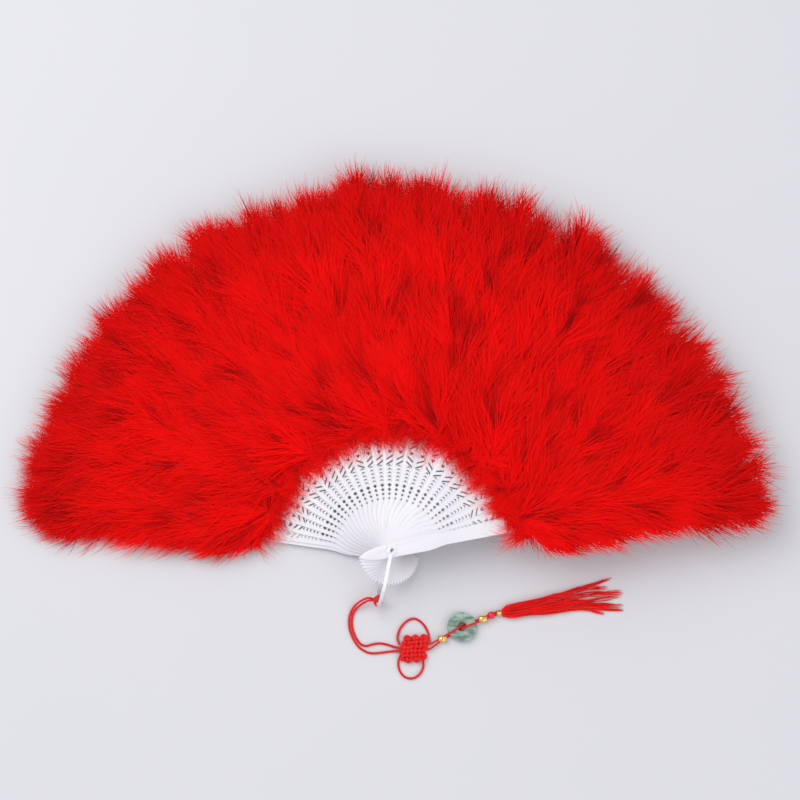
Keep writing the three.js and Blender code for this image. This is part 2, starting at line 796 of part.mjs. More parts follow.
// The tassel is a bundle that spreads and flattens as it leaves its bound head.
function addTassel() {
  const curve = curveOf(tasselRoute);
  const rings = [];
  for (let ring = 0; ring <= tasselRings; ring += 1) {
    const along = ring / tasselRings;
    const middle = curve.getPointAt(along);
    const forward = curve.getTangentAt(along);
    const across = new THREE.Vector3(-forward.y, forward.x, 0).normalize();
    const swell = Math.sin(Math.min(1, along / tasselBellyShare) * (Math.PI / 2));
    const spread = along ** tasselSpreadPower;
    const cone = THREE.MathUtils.lerp(tasselHeadHalfWidth, tasselEndHalfWidth, spread);
    const halfWidth = cone + swell * tasselSwell;
    const fall = Math.max(0, (along - tasselBellyShare) / (1 - tasselBellyShare));
    const belly = THREE.MathUtils.lerp(tasselHeadHalfHeight, tasselBellyHalfHeight, swell);
    const tall = THREE.MathUtils.lerp(belly, tasselEndHalfHeight, fall);
    rings.push([]);
    for (let i = 0; i < tasselSides; i += 1) {
      const turn = (i / tasselSides) * 2 * Math.PI;
      const lobe = 1 - (tasselLobeDepth / tasselEndHalfWidth) * along * Math.cos(tasselLobes * turn);
      const wide = halfWidth * Math.cos(turn) * lobe;
      const end = ring === tasselRings ? tasselEndSlant * Math.sin(tasselEndWaves * turn) : 0;
      const x = middle.x + across.x * wide + forward.x * end;
      const y = middle.y + across.y * wide + forward.y * end;
      rings[ring].push([x, y, tall + tall * Math.sin(turn)]);
    }
  }
  place("tassel", loft(rings), cordRed);
}

addRivet();
addSticks();
addPlumes();
addBail();
addHitch();
addCords();
addKnot();
addPendant();
addTassel();

export default fan;
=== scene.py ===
# A folding feather fan, open and lying flat, with its knotted cord, beads, ring and tassel.
# Metres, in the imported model's own frame: the rivet stands on the origin and +Z is up.
import json
import math

import bpy
import numpy as np
from mathutils import Matrix, Vector

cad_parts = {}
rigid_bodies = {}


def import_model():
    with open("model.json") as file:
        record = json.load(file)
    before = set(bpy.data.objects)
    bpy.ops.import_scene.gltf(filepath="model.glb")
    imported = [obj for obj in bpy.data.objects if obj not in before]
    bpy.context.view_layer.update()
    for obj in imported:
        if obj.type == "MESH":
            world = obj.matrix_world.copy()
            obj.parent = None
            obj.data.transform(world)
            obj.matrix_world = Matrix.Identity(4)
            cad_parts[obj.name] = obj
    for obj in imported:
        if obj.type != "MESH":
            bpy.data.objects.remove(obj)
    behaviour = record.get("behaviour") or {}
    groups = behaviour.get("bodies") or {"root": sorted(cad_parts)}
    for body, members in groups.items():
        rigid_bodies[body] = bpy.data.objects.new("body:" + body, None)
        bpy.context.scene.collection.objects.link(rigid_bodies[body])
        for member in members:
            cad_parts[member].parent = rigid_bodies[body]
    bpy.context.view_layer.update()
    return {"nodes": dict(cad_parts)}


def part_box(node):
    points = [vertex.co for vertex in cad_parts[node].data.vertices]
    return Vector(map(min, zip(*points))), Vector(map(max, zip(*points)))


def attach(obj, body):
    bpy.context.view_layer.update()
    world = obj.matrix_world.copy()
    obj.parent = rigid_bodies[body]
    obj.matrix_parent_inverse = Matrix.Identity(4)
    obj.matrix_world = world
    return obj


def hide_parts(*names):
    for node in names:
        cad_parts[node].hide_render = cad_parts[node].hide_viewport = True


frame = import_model()
print("frame loaded:", len(frame["nodes"]), "nodes")


# The picture: a long lens high above the fan, turned a little to the left of straight down
view = {
    "towards": (-0.115, -0.092, 0.989),  # from the fan to the lens
    "middle": (0.0092, 0.0999),  # what lies at the middle of the picture, across and up from the rivet
    "span": 0.52,  # what the picture takes in, side to side
    "distance": 4.0,
}


# A new object in the scene, which holds a mesh, a lamp or the camera
def newObject(name, data):
    made = bpy.data.objects.new(name, data)
    bpy.context.scene.collection.objects.link(made)
    return made


def addCamera():
    back = Vector(view["towards"]).normalized()
    across = Vector((back.z, 0, -back.x)).normalized()
    up = back.cross(across)
    aim = across * view["middle"][0] + up * view["middle"][1]
    camera = bpy.data.cameras.new("fanCamera")
    camera.lens = camera.sensor_width * view["distance"] / view["span"]
    holder = newObject("fanCamera", camera)
    turn = Matrix((across, up, back)).transposed().to_4x4()
    holder.matrix_world = Matrix.Translation(aim + back * view["distance"]) @ turn
    bpy.context.scene.camera = holder


# A colour as it is seen on a screen, from 0 to 255, as the linear colour that the shader takes
def tint(red, green, blue):
    seen = [value / 255 for value in (red, green, blue)]
    return tuple(v / 12.92 if v <= 0.04045 else ((v + 0.055) / 1.055) ** 2.4 for v in seen) + (1.0,)


class Wire:
    def __init__(self, tree, socket=None):
        self.tree = tree
        self.socket = socket

    def node(self, kind, settings=None, inputs=None, output=0):
        made = self.tree.nodes.new(kind)
        for name, value in (settings or {}).items():
            if name == "stops":
                stops = made.color_ramp.elements
                for place, _ in value[1:-1]:
                    stops.new(place)
                for stop, (place, colour) in zip(stops, value):
                    stop.position = place
                    stop.color = colour
            else:
                setattr(made, name, value)
        for name, value in (inputs or {}).items():
            if isinstance(value, Wire):
                self.tree.links.new(value.socket, made.inputs[name])
            else:
                made.inputs[name].default_value = value
        return Wire(self.tree, made.outputs[output] if len(made.outputs) else None)

    def maths(self, operation, *values):
        return self.node("ShaderNodeMath", {"operation": operation}, dict(enumerate(values)))

    def __add__(self, other):
        return self.maths("ADD", self, other)

    def __mul__(self, other):
        return self.maths("MULTIPLY", self, other)

    __radd__ = __add__
    __rmul__ = __mul__

    def mix(self, first, second, share):
        return self.node("ShaderNodeMix", {"data_type": "RGBA"}, {0: share, 6: first, 7: second}, 2)

    def place(self, stretch=(1, 1, 1)):
        where = self.node("ShaderNodeTexCoord", output="Object")
        return self.node("ShaderNodeMapping", {}, {"Vector": where, "Scale": stretch})

    def noise(self, scale, detail=3.0, stretch=(1, 1, 1)):
        inputs = {"Vector": self.place(stretch), "Scale": scale, "Detail": detail}
        return self.node("ShaderNodeTexNoise", {}, inputs)

    def ramp(self, stops, value):
        return self.node("ShaderNodeValToRGB", {"stops": stops}, {0: value})

    def bump(self, height, strength, distance):
        return self.node("ShaderNodeBump", {}, {"Height": height, "Strength": strength, "Distance": distance})


# Two colours that drift into each other by a fine grain, or by that and a coarse cloud. Each of these is a
# noise's scale, detail and stretch. The gloss is a roughness and what the grain adds to it at most, and the
# bump, which follows the grain too, is a strength and a distance
def paintGrain(s, look):
    grain = s.noise(*look["grain"])
    drift = grain
    if "cloud" in look:
        share = look["grainShare"]
        drift = share * grain + (1 - share) * s.noise(*look["cloud"])
    painted = {"Base Color": s.mix(tint(*look["dark"]), tint(*look["light"]), drift)}
    if "gloss" in look:
        painted["Roughness"] = look["gloss"][0] + look["gloss"][1] * grain
    if "bump" in look:
        painted["Normal"] = s.bump(grain, *look["bump"])
    return painted


# Of the OFBake layer, the first value runs along a barb, and the second is the tone of the barb's tuft
# These colours are painted light and shade: a barb is darker at its root, as painted shade deep in the fluff,
# and lighter at its tip, and its tuft's tone mixes the shaded ramp with the lit one
def paintDown(s, look):
    layer = s.node("ShaderNodeUVMap", {"uv_map": "OFBake"})
    along, tone = (s.node("ShaderNodeSeparateXYZ", {}, {0: layer}, k) for k in (0, 1))
    lit, shade = (
        s.ramp([(at, tint(*colour)) for at, colour in look[name]], along) for name in ("lit", "shade")
    )
    return {"Base Color": s.mix(shade, lit, tone)}


# Painted shade near the rivet's axis, where its head is hollow: the colour darkens there
def paintSteel(s, look):
    painted = paintGrain(s, look)
    across, along = (s.node("ShaderNodeSeparateXYZ", {}, {0: s.place()}, k) for k in (0, 1))
    fromAxis = s.maths("SQRT", across * across + along * along)
    reach = {0: fromAxis, 1: look["hollowRadius"], 2: look["rimRadius"]}
    rim = s.node("ShaderNodeMapRange", {"interpolation_type": "SMOOTHSTEP"}, reach)
    painted["Base Color"] = s.mix(tint(*look["hollow"]), painted["Base Color"], rim)
    return painted


def paintJade(s, look):
    painted = paintGrain(s, look)
    low, high = look["bandEdges"]
    band = s.ramp([(low, (0, 0, 0, 1)), (high, (1, 1, 1, 1))], s.noise(*look["band"]))
    painted["Base Color"] = s.mix(painted["Base Color"], tint(*look["deep"]), band)
    return painted


# A look's fixed values go on the shader's own sockets, and its glow is the share of the light that comes
# through a thin piece from its other side
def finish(name, look, paint=paintGrain):
    made = bpy.data.materials.new(name)
    made.use_nodes = True
    made.node_tree.nodes.clear()
    s = Wire(made.node_tree)
    inputs = {**look["fixed"], **paint(s, look)}
    surface = s.node("ShaderNodeBsdfPrincipled", {}, inputs)
    if "glow" in look:
        through = s.node("ShaderNodeBsdfTranslucent", {}, {"Color": inputs["Base Color"]})
        surface = s.node("ShaderNodeMixShader", {}, {0: look["glow"], 1: surface, 2: through})
    s.node("ShaderNodeOutputMaterial", {}, {"Surface": surface})
    return made


plasticLook = {
    "dark": (225, 223, 231),
    "light": (237, 235, 236),
    "grain": (420,),
    "cloud": (38, 2.0),
    "grainShare": 0,
    "gloss": (0.24, 0.16),
    "bump": (0.1, 0.0003),
    "fixed": {"IOR": 1.5, "Subsurface Weight": 0.1, "Subsurface Scale": 0.001},
}
downLook = {
    # lit and shade are painted light and painted shade along a barb, each darker at the root as painted shade
    "lit": [(0.0, (250, 6, 7)), (0.25, (255, 7, 7)), (0.6, (255, 10, 8)), (1.0, (255, 28, 22))],
    "shade": [(0.0, (128, 2, 4)), (1.0, (188, 6, 7))],
    "fixed": {"Roughness": 0.8, "Specular IOR Level": 0.08, "Sheen Weight": 0.06},
    "glow": 0.14,
}
nickelLook = {
    "dark": (232, 234, 238),
    "light": (252, 252, 254),
    "grain": (300, 3.0, (1, 1, 6)),
    "gloss": (0.28, 0.2),
    "fixed": {"Metallic": 1.0},
}
steelLook = {
    "dark": (206, 208, 214),
    "light": (238, 239, 243),
    # the painted shade in the hollow of the head, full inside hollowRadius and gone past rimRadius
    "hollow": (112, 114, 120),
    "hollowRadius": 0.0009,
    "rimRadius": 0.0013,
    "grain": (700, 3.0, (8, 1, 1)),
    "gloss": (0.3, 0.2),
    "bump": (0.15, 0.0001),
    "fixed": {"Metallic": 1.0},
}
cordLook = {
    "dark": (190, 8, 11),
    "light": (240, 27, 27),
    "grain": (2600, 2.0),
    "cloud": (160, 2.0),
    "grainShare": 0.35,
    "gloss": (0.42, 0.2),
    "bump": (0.3, 0.0001),
    "fixed": {"Sheen Weight": 0.06, "Specular IOR Level": 0.3},
}
knotLook = {**cordLook, "dark": (198, 6, 9), "light": (250, 30, 25)}
yarnLook = {
    "dark": (212, 6, 9),
    "light": (255, 34, 28),
    "grain": (1500, 2.0, (0.06, 1, 1)),
    "cloud": (60, 2.0),
    "grainShare": 0.7,
    "gloss": (0.36, 0.2),
    "fixed": {"Sheen Weight": 0.05, "Specular IOR Level": 0.35},
}
goldLook = {
    "dark": (214, 152, 62),
    "light": (255, 226, 152),
    "grain": (1400, 2.0),
    "gloss": (0.06, 0.2),
    "bump": (0.45, 0.0001),
    "fixed": {"Metallic": 1.0},
}
jadeLook = {
    "dark": (124, 152, 134),
    "light": (190, 208, 194),
    "deep": (66, 98, 82),
    "grain": (210, 6.0),
    "band": (150, 5.0, (1, 2.6, 1)),
    "bandEdges": (0.42, 0.7),
    "gloss": (0.14, 0.16),
    "fixed": {"Coat Weight": 0.4, "Subsurface Weight": 0.2, "Subsurface Scale": 0.002},
}
redBeadLook = {
    "dark": (206, 12, 24),
    "light": (246, 34, 46),
    "grain": (500,),
    "gloss": (0.22, 0.14),
    "fixed": {"Coat Weight": 0.25},
}
floorLook = {"dark": (211, 211, 215), "light": (217, 217, 220), "grain": (3,), "fixed": {"Roughness": 0.7}}

plastic = finish("whitePlastic", plasticLook)
scarlet = finish("scarletDown", downLook, paintDown)
nickel = finish("bailNickel", nickelLook)
steel = finish("rivetSteel", steelLook, paintSteel)
cordRed = finish("cordRed", cordLook)
knotRed = finish("knotRed", knotLook)
yarn = finish("tasselYarn", yarnLook)
gold = finish("beadGold", goldLook)
jade = finish("paleJade", jadeLook, paintJade)
redBead = finish("redBead", redBeadLook)
floorPaint = finish("paleFloor", floorLook)

studio = {
    "floorLevel": -0.0002,
    "floorSize": 40.0,
    "keyPlace": (-0.9, 0.7, 1.5),
    "keySize": 1.5,
    "keyPower": 20.6,
    "fillPlace": (1.2, -0.8, 1.4),
    "fillSize": 1.8,
    "fillPower": 10.2,
    "aim": (0.0, 0.09, 0.0),
    "skyColour": tint(232, 233, 238),
    "skyLight": 0.72,
}


def addLamp(kind):
    lamp = bpy.data.lights.new(f"{kind}Lamp", "AREA")
    lamp.size = studio[f"{kind}Size"]
    lamp.energy = studio[f"{kind}Power"]
    holder = newObject(lamp.name, lamp)
    holder.location = studio[f"{kind}Place"]
    holder.rotation_euler = (Vector(studio["aim"]) - holder.location).to_track_quat("-Z", "Y").to_euler()


# The camera and what is glossy see a sky of strength 1, and the object is lit by a weaker one
def addStudio():
    addLamp("key")
    addLamp("fill")
    world = bpy.data.worlds.new("studioSky")
    bpy.context.scene.world = world
    world.use_nodes = True
    world.node_tree.nodes.clear()
    s = Wire(world.node_tree)
    camera, glossy = (s.node("ShaderNodeLightPath", output=f"Is {ray} Ray") for ray in ("Camera", "Glossy"))
    strength = studio["skyLight"] + (1 - studio["skyLight"]) * s.maths("MAXIMUM", camera, glossy)
    sky = s.node("ShaderNodeBackground", {}, {"Color": studio["skyColour"], "Strength": strength})
    s.node("ShaderNodeOutputWorld", {}, {"Surface": sky})
    deselectAll()
    bpy.ops.mesh.primitive_plane_add(size=studio["floorSize"], location=(0, 0, studio["floorLevel"]))
    floor = bpy.context.object
    floor.name = "floor"
    floor.data.materials.append(floorPaint)


def deselectAll():
    if bpy.context.mode != "OBJECT":
        bpy.ops.object.mode_set(mode="OBJECT")
    bpy.ops.object.select_all(action="DESELECT")


def choose(piece):
    deselectAll()
    piece.select_set(True)
    bpy.context.view_layer.objects.active = piece


# Into edit mode, with the whole piece selected
def openUp(piece):
    choose(piece)
    bpy.ops.object.mode_set(mode="EDIT")
    bpy.ops.mesh.select_all(action="SELECT")


sameSpot = 1e-6  # vertices this near to each other become one


# Out of edit mode, with the seams closed and all faces turned outward
def closeUp():
    bpy.ops.mesh.select_all(action="SELECT")
    bpy.ops.mesh.remove_doubles(threshold=sameSpot)
    bpy.ops.mesh.normals_make_consistent(inside=False)
    bpy.ops.object.mode_set(mode="OBJECT")


# Adds a modifier with these settings and applies it
def modify(piece, kind, **settings):
    choose(piece)
    step = piece.modifiers.new("step", kind)
    for name, value in settings.items():
        setattr(step, name, value)
    bpy.ops.object.modifier_apply(modifier=step.name)


# Hangs a piece on its body, in place of its node, which is hidden
def hang(piece, body, node):
    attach(piece, body)
    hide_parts(node)


# Names a modelled piece, brings its place into its mesh, gives it its finish and hangs it on its body
def settle(piece, name, coat, body, node, smoothAngle):
    choose(piece)
    bpy.ops.object.transform_apply(location=True, rotation=True, scale=True)
    bpy.ops.object.shade_smooth_by_angle(angle=math.radians(smoothAngle))
    piece.name = name
    piece.data.name = name
    piece.data.materials.clear()
    piece.data.materials.append(coat)
    hang(piece, body, node)
    return piece


# A circle extruded and resized from ring to ring of the profile, which is (radius, height) pairs about Z
def turned(profile, sides, fill="NOTHING"):
    deselectAll()
    radius, height = profile[0]
    bpy.ops.mesh.primitive_circle_add(vertices=sides, radius=radius, fill_type=fill, location=(0, 0, 0))
    piece = bpy.context.object
    openUp(piece)
    bpy.ops.transform.translate(value=(0, 0, height))
    for (radius, height), (nextRadius, nextHeight) in zip(profile, profile[1:]):
        bpy.ops.mesh.extrude_region_move(TRANSFORM_OT_translate={"value": (0, 0, nextHeight - height)})
        share = nextRadius / radius
        bpy.ops.transform.resize(value=(share, share, 1))
    closeUp()
    return piece


# The closed profile of a ring with rounded edges, from its inner wall's foot round and back to it
def roundedRing(inner, outer, low, high, edge, steps):
    corners = [
        (inner + edge, low + edge, 180),
        (outer - edge, low + edge, 270),
        (outer - edge, high - edge, 0),
        (inner + edge, high - edge, 90),
    ]
    profile = []
    for radius, height, start in corners:
        for i in range(steps + 1):
            turn = math.radians(start + 90 * i / steps)
            profile.append((radius + edge * math.cos(turn), height + edge * math.sin(turn)))
    return profile + profile[:1]


# Vectors in the same directions, each of length 1
def unit(vectors):
    return vectors / np.linalg.norm(vectors, axis=-1, keepdims=True)


# Places turned about the origin
def spun(x, y, angle):
    return x * np.cos(angle) - y * np.sin(angle), x * np.sin(angle) + y * np.cos(angle)


# How far along the line each of its points lies
def distances(line):
    return np.concatenate([[0], np.cumsum(np.linalg.norm(np.diff(line, axis=0), axis=1))])


# The walls and ends of a tube, whose vertices lie ring after ring and start with this number
def tubeFaces(rings, sides, first=0):
    faces = []
    for i in range(rings - 1):
        for j in range(sides):
            a, b = (first + i * sides + k % sides for k in (j, j + 1))
            faces.append((a, b, b + sides, a + sides))
    last = first + (rings - 1) * sides
    faces.append(tuple(range(first, first + sides))[::-1])
    faces.append(tuple(range(last, last + sides)))
    return faces


# Cord work. The routes are those of the model, in metres.
cords = {
    "diameter": 0.0016,
    "pendantDiameter": 0.0014,
    "step": 0.00034,
    "fewestSteps": 8,
    "curveSteps": 24,  # between two points of a route, before the line is walked evenly
    "sides": 20,
    "startSide": (0.3, 0.2, 1.0),  # across this, a cord's first ring of points begins
    "plies": 3,
    "plaitLength": 0.0015,
    "plaitDepth": 0.15,
    "smoothAngle": 60,
    "tuck": 0.0016,  # how far a strand runs on into the knot or the hitch
    "floorGap": 0.00005,
}
outerStrandRoute = [
    (-0.0095, -0.0298, 0.0069), (-0.0124, -0.0293, 0.0064), (-0.0162, -0.0308, 0.0049),
    (-0.0195, -0.0332, 0.003), (-0.0217, -0.0359, 0.0016), (-0.0233, -0.0393, 0.00095),
    (-0.0241, -0.0431, 0.00085), (-0.024, -0.0473, 0.00085), (-0.023, -0.0517, 0.00085),
    (-0.0209, -0.0564, 0.00085), (-0.0179, -0.0606, 0.00085), (-0.0142, -0.0633, 0.00085),
    (-0.0106, -0.0647, 0.00085), (-0.0064, -0.0648, 0.00085), (-0.002, -0.0643, 0.00085),
    (0.0024, -0.0637, 0.0009), (0.0062, -0.0633, 0.0013), (0.009, -0.0631, 0.0017),
]
innerStrandRoute = [
    (-0.0095, -0.031, 0.0084), (-0.0123, -0.0311, 0.0076), (-0.0154, -0.0326, 0.0054),
    (-0.0181, -0.0346, 0.003), (-0.0201, -0.0369, 0.0016), (-0.0215, -0.0399, 0.00095),
    (-0.0222, -0.0433, 0.00085), (-0.0221, -0.0471, 0.00085), (-0.0212, -0.0511, 0.00085),
    (-0.0193, -0.0553, 0.00085), (-0.0165, -0.0589, 0.00085), (-0.013, -0.0601, 0.0009),
    (-0.0092, -0.0592, 0.0009), (-0.0054, -0.0585, 0.00085), (-0.0014, -0.0587, 0.00085),
    (0.0022, -0.0596, 0.0009), (0.0058, -0.0607, 0.0013), (0.009, -0.0612, 0.0017),
]
upperEarRoute = [
    (0.0081, -0.0576, 0.0018), (0.0076, -0.0562, 0.0012), (0.0077, -0.0532, 0.00085),
    (0.0091, -0.0491, 0.00085), (0.0121, -0.0452, 0.00085), (0.0156, -0.0428, 0.00085),
    (0.019, -0.0423, 0.00085), (0.0225, -0.044, 0.00085), (0.0253, -0.047, 0.00085),
    (0.0272, -0.0504, 0.00085), (0.0279, -0.0532, 0.0012), (0.0281, -0.0556, 0.0018),
]
lowerEarRoute = [
    (0.0089, -0.0674, 0.0019), (0.0082, -0.0692, 0.0012), (0.0081, -0.0726, 0.00085),
    (0.0089, -0.0758, 0.00085), (0.0107, -0.0787, 0.00085), (0.0132, -0.0805, 0.00085),
    (0.0162, -0.0811, 0.00085), (0.0195, -0.0802, 0.00085), (0.0222, -0.078, 0.00085),
    (0.0239, -0.075, 0.00085), (0.0244, -0.0726, 0.0011), (0.0243, -0.071, 0.0017),
]
upperPendantRoute = [
    (0.0272, -0.0588, 0.0019), (0.0292, -0.0582, 0.0021), (0.0314, -0.0573, 0.00235),
    (0.034, -0.0559, 0.00245), (0.0362, -0.0546, 0.00245), (0.0383, -0.0533, 0.00245),
    (0.0397, -0.0525, 0.0034), (0.0407, -0.0519, 0.0046), (0.0417, -0.0513, 0.00505),
    (0.0437, -0.0501, 0.0051), (0.0457, -0.0489, 0.00505), (0.0474, -0.0479, 0.00445),
    (0.0492, -0.0469, 0.00275), (0.0511, -0.0461, 0.0011), (0.053, -0.0454, 0.0006),
    (0.0551, -0.0446, 0.0006), (0.0573, -0.0438, 0.0006), (0.0584, -0.0433, 0.00095),
    (0.0595, -0.0429, 0.0019), (0.0608, -0.0425, 0.00245), (0.0628, -0.0416, 0.00245),
    (0.065, -0.0407, 0.00245), (0.067, -0.0395, 0.0025), (0.0699, -0.0385, 0.0025),
    (0.0721, -0.0378, 0.0021), (0.0754, -0.0373, 0.0021),
]
lowerPendantRoute = [
    (0.0272, -0.0622, 0.0019), (0.029, -0.0616, 0.0021), (0.0318, -0.0596, 0.00235),
    (0.0347, -0.0572, 0.00245), (0.037, -0.0558, 0.00245), (0.039, -0.0546, 0.00245),
    (0.0404, -0.0538, 0.0018), (0.0415, -0.0531, 0.00095), (0.0425, -0.0525, 0.0006),
    (0.0445, -0.0513, 0.0006), (0.0464, -0.0502, 0.0006), (0.0482, -0.0491, 0.0011),
    (0.0498, -0.0481, 0.0028), (0.0516, -0.0475, 0.0045), (0.0535, -0.0467, 0.00505),
    (0.0556, -0.0459, 0.0051), (0.0578, -0.0451, 0.00505), (0.0589, -0.0447, 0.0046),
    (0.06, -0.0442, 0.0036), (0.0614, -0.0439, 0.0025), (0.0634, -0.043, 0.00245),
    (0.0656, -0.042, 0.00245), (0.0675, -0.0409, 0.0025), (0.0704, -0.0399, 0.0025),
    (0.0723, -0.0392, 0.0021), (0.0754, -0.0387, 0.0021),
]


# A smooth line through the points, walked at an even step
def smoothLine(points, step):
    p = np.array(points, float)
    p = np.vstack([2 * p[0] - p[1], p, 2 * p[-1] - p[-2]])
    u = np.linspace(0, 1, cords["curveSteps"], endpoint=False)[:, None]
    fine = [
        0.5 * (2 * b + (c - a) * u + (2 * a - 5 * b + 4 * c - d) * u**2 + (3 * b - a - 3 * c + d) * u**3)
        for a, b, c, d in zip(p, p[1:], p[2:], p[3:])
    ]
    fine = np.vstack(fine + [p[-2:-1]])
    along = distances(fine)
    at = np.linspace(0, along[-1], max(cords["fewestSteps"], round(along[-1] / step)) + 1)
    return np.stack([np.interp(at, along, fine[:, k]) for k in range(3)], 1)


# The points with one more at each end, straight on from it
def tucked(points, tuck):
    p = [Vector(point) for point in points]
    first = p[0] + (p[0] - p[1]).normalized() * tuck
    last = p[-1] + (p[-1] - p[-2]).normalized() * tuck
    return [tuple(point) for point in (first, *p, last)]


# A cord along the line, round but for the diamonds of its plait, closed at both ends
def plaitedTube(name, line, radius, coat):
    tangent = unit(np.gradient(line, axis=0))
    side = np.cross(tangent[0], cords["startSide"])
    turn = np.arange(cords["sides"]) / cords["sides"] * 2 * math.pi
    wave = distances(line)[:, None] * math.pi / cords["plaitLength"]
    ply = cords["plies"] * turn[None, :]
    crest = np.abs(np.sin(ply + wave)) * np.abs(np.sin(ply - wave))
    reach = radius * (1 - cords["plaitDepth"] * (1 - crest))
    verts = []
    for point, forward, radii in zip(line, tangent, reach):
        side = unit(side - forward * side.dot(forward))
        up = np.cross(forward, side)
        verts.extend(point + radii[:, None] * (np.cos(turn)[:, None] * side + np.sin(turn)[:, None] * up))
    mesh = bpy.data.meshes.new(name)
    mesh.from_pydata([tuple(v) for v in verts], [], tubeFaces(len(line), len(turn)))
    mesh.materials.append(coat)
    piece = newObject(name, mesh)
    choose(piece)
    bpy.ops.object.shade_smooth_by_angle(angle=math.radians(cords["smoothAngle"]))
    return piece


def layCord(name, node, route, diameter):
    line = smoothLine(tucked(route, cords["tuck"]), cords["step"])
    line[:, 2] = np.maximum(line[:, 2], diameter / 2 + cords["floorGap"])
    piece = plaitedTube(name, line, diameter / 2, cordRed)
    hang(piece, "bail", node)


# Short lengths of cord made into one piece on the bail
def addWound(name, node, lines, radius, coat):
    parts = [plaitedTube(name, smoothLine(line, cords["step"]), radius, coat) for line in lines]
    deselectAll()
    for part in parts:
        part.select_set(True)
    bpy.context.view_layer.objects.active = parts[0]
    bpy.ops.object.join()
    hang(parts[0], "bail", node)
    return parts[0]


# The knot's body: one run of cord to and fro and another across it, each over and under the other
knot = {
    "centre": (0.0182, -0.0618),
    "turn": 4.0,
    "passes": 6,
    "pitch": 0.0027,
    "cordRadius": 0.0012,
    "loopReach": 0.0013,  # how far a loop stands out past the last crossing
    "loopShape": ((0.75, 0.12), (1.1, 0.5), (0.75, 0.88)),  # its points, in shares of that and of the pitch
    "lean": 0.18,  # the square leans a little, as a knot drawn up by hand does
    "level": 0.0021,
    "wave": 0.00088,
    "drift": 0.0003,
    "driftAlong": 0.4,  # how much of the drift there is along a pass
    "seed": 7,
}


# To-and-fro passes joined by loops, as points that rise and dip at every crossing
def weaveRun(across):
    rng = np.random.default_rng(knot["seed"] + across)
    count, pitch = knot["passes"], knot["pitch"]
    steps = [(j - (count - 1) / 2) * pitch for j in range(count)]
    points = []
    for i, offset in enumerate(steps):
        order = range(count) if i % 2 == 0 else range(count - 1, -1, -1)
        for j in order:
            over = 1 if (i + j + across) % 2 == 0 else -1
            along, aside = rng.normal(0, knot["drift"], 2)
            points.append((steps[j] + along * knot["driftAlong"], offset + aside, over * knot["wave"]))
        if i < count - 1:
            end = steps[order[-1]]
            out = math.copysign(knot["loopReach"], end)
            points += [(end + out * reach, offset + pitch * share, 0) for reach, share in knot["loopShape"]]
    if across:
        points = [(y, x, z) for x, y, z in points]
    placed = []
    for x, y, z in points:
        x, y = spun(x + y * knot["lean"], y, math.radians(knot["turn"]))
        placed.append((knot["centre"][0] + x, knot["centre"][1] + y, knot["level"] + z))
    return placed


def addKnotBody():
    return addWound("wovenKnot", "knot_body", [weaveRun(0), weaveRun(1)], knot["cordRadius"], knotRed)


# The bail, a strip bent to a U round the stack, with a pierced eye at each end
bail = {
    "thickness": 0.001,
    "width": 0.0022,
    "eyeRadius": 0.0029,
    "eyeSides": 64,
    "boreRadius": 0.00135,
    "boreSides": 48,
    "boreReach": 3,  # in radii of the bend, so that it goes through both eyes
    "reach": 0.035,
    "heading": -101.0,
    "bendSteps": 40,
    "edge": 0.00028,
    "edgeSteps": 3,
    "edgeAngle": 50,  # edges sharper than this are rounded
    "smoothAngle": 30,
}


# Radius of the bend's outer face and its centre, as distance from the rivet and height
def bailBend():
    low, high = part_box("bail")
    radius = (high.z - low.z) / 2
    return radius, bail["reach"] - radius, low.z + radius


# Joins a cylinder about Z to the piece, or cuts it out of it
def cylinderInto(piece, operation, sides, radius, depth, level):
    deselectAll()
    bpy.ops.mesh.primitive_cylinder_add(vertices=sides, radius=radius, depth=depth, location=(0, 0, level))
    tool = bpy.context.object
    modify(piece, "BOOLEAN", operation=operation, object=tool, solver="EXACT")
    bpy.data.objects.remove(tool)


def addBail():
    radius, along, height = bailBend()
    thick = bail["thickness"]
    middle = radius - thick / 2
    deselectAll()
    place = (0, 0, height - middle)
    bpy.ops.mesh.primitive_plane_add(size=1, location=place, rotation=(0, math.radians(90), 0))
    strip = bpy.context.object
    strip.scale = (thick, bail["width"], 1)
    bpy.ops.object.transform_apply(location=True, rotation=True, scale=True)
    openUp(strip)
    bpy.ops.mesh.extrude_region_move(TRANSFORM_OT_translate={"value": (along, 0, 0)})
    bpy.ops.mesh.spin(steps=bail["bendSteps"], angle=math.pi, center=(along, 0, height), axis=(0, 1, 0))
    bpy.ops.mesh.extrude_region_move(TRANSFORM_OT_translate={"value": (-along, 0, 0)})
    closeUp()
    for level in (height - middle, height + middle):
        cylinderInto(strip, "UNION", bail["eyeSides"], bail["eyeRadius"], thick, level)
    bore = bail["boreReach"] * radius
    cylinderInto(strip, "DIFFERENCE", bail["boreSides"], bail["boreRadius"], bore, height)
    modify(
        strip,
        "BEVEL",
        width=bail["edge"],
        segments=bail["edgeSteps"],
        limit_method="ANGLE",
        angle_limit=math.radians(bail["edgeAngle"]),
    )
    strip.rotation_euler = (0, 0, math.radians(bail["heading"]))
    settle(strip, "bailStrip", nickel, "bail", "bail", bail["smoothAngle"])


hitch = {
    "bendAngle": -36.0,
    "turns": 3,
    "turnSteps": 14,
    "ringRadius": 0.0021,
    "pitch": 0.0017,
    "cordRadius": 0.0008,
    "bridgeAngle": 190.0,
    # The bridge's points: how far along the turns, from -1 at their start to 1 at their end, and how far out
    "bridge": [(-1, 0.002), (-0.5, 0.0031), (0, 0.0031), (0.5, 0.0031), (1, 0.002)],
}


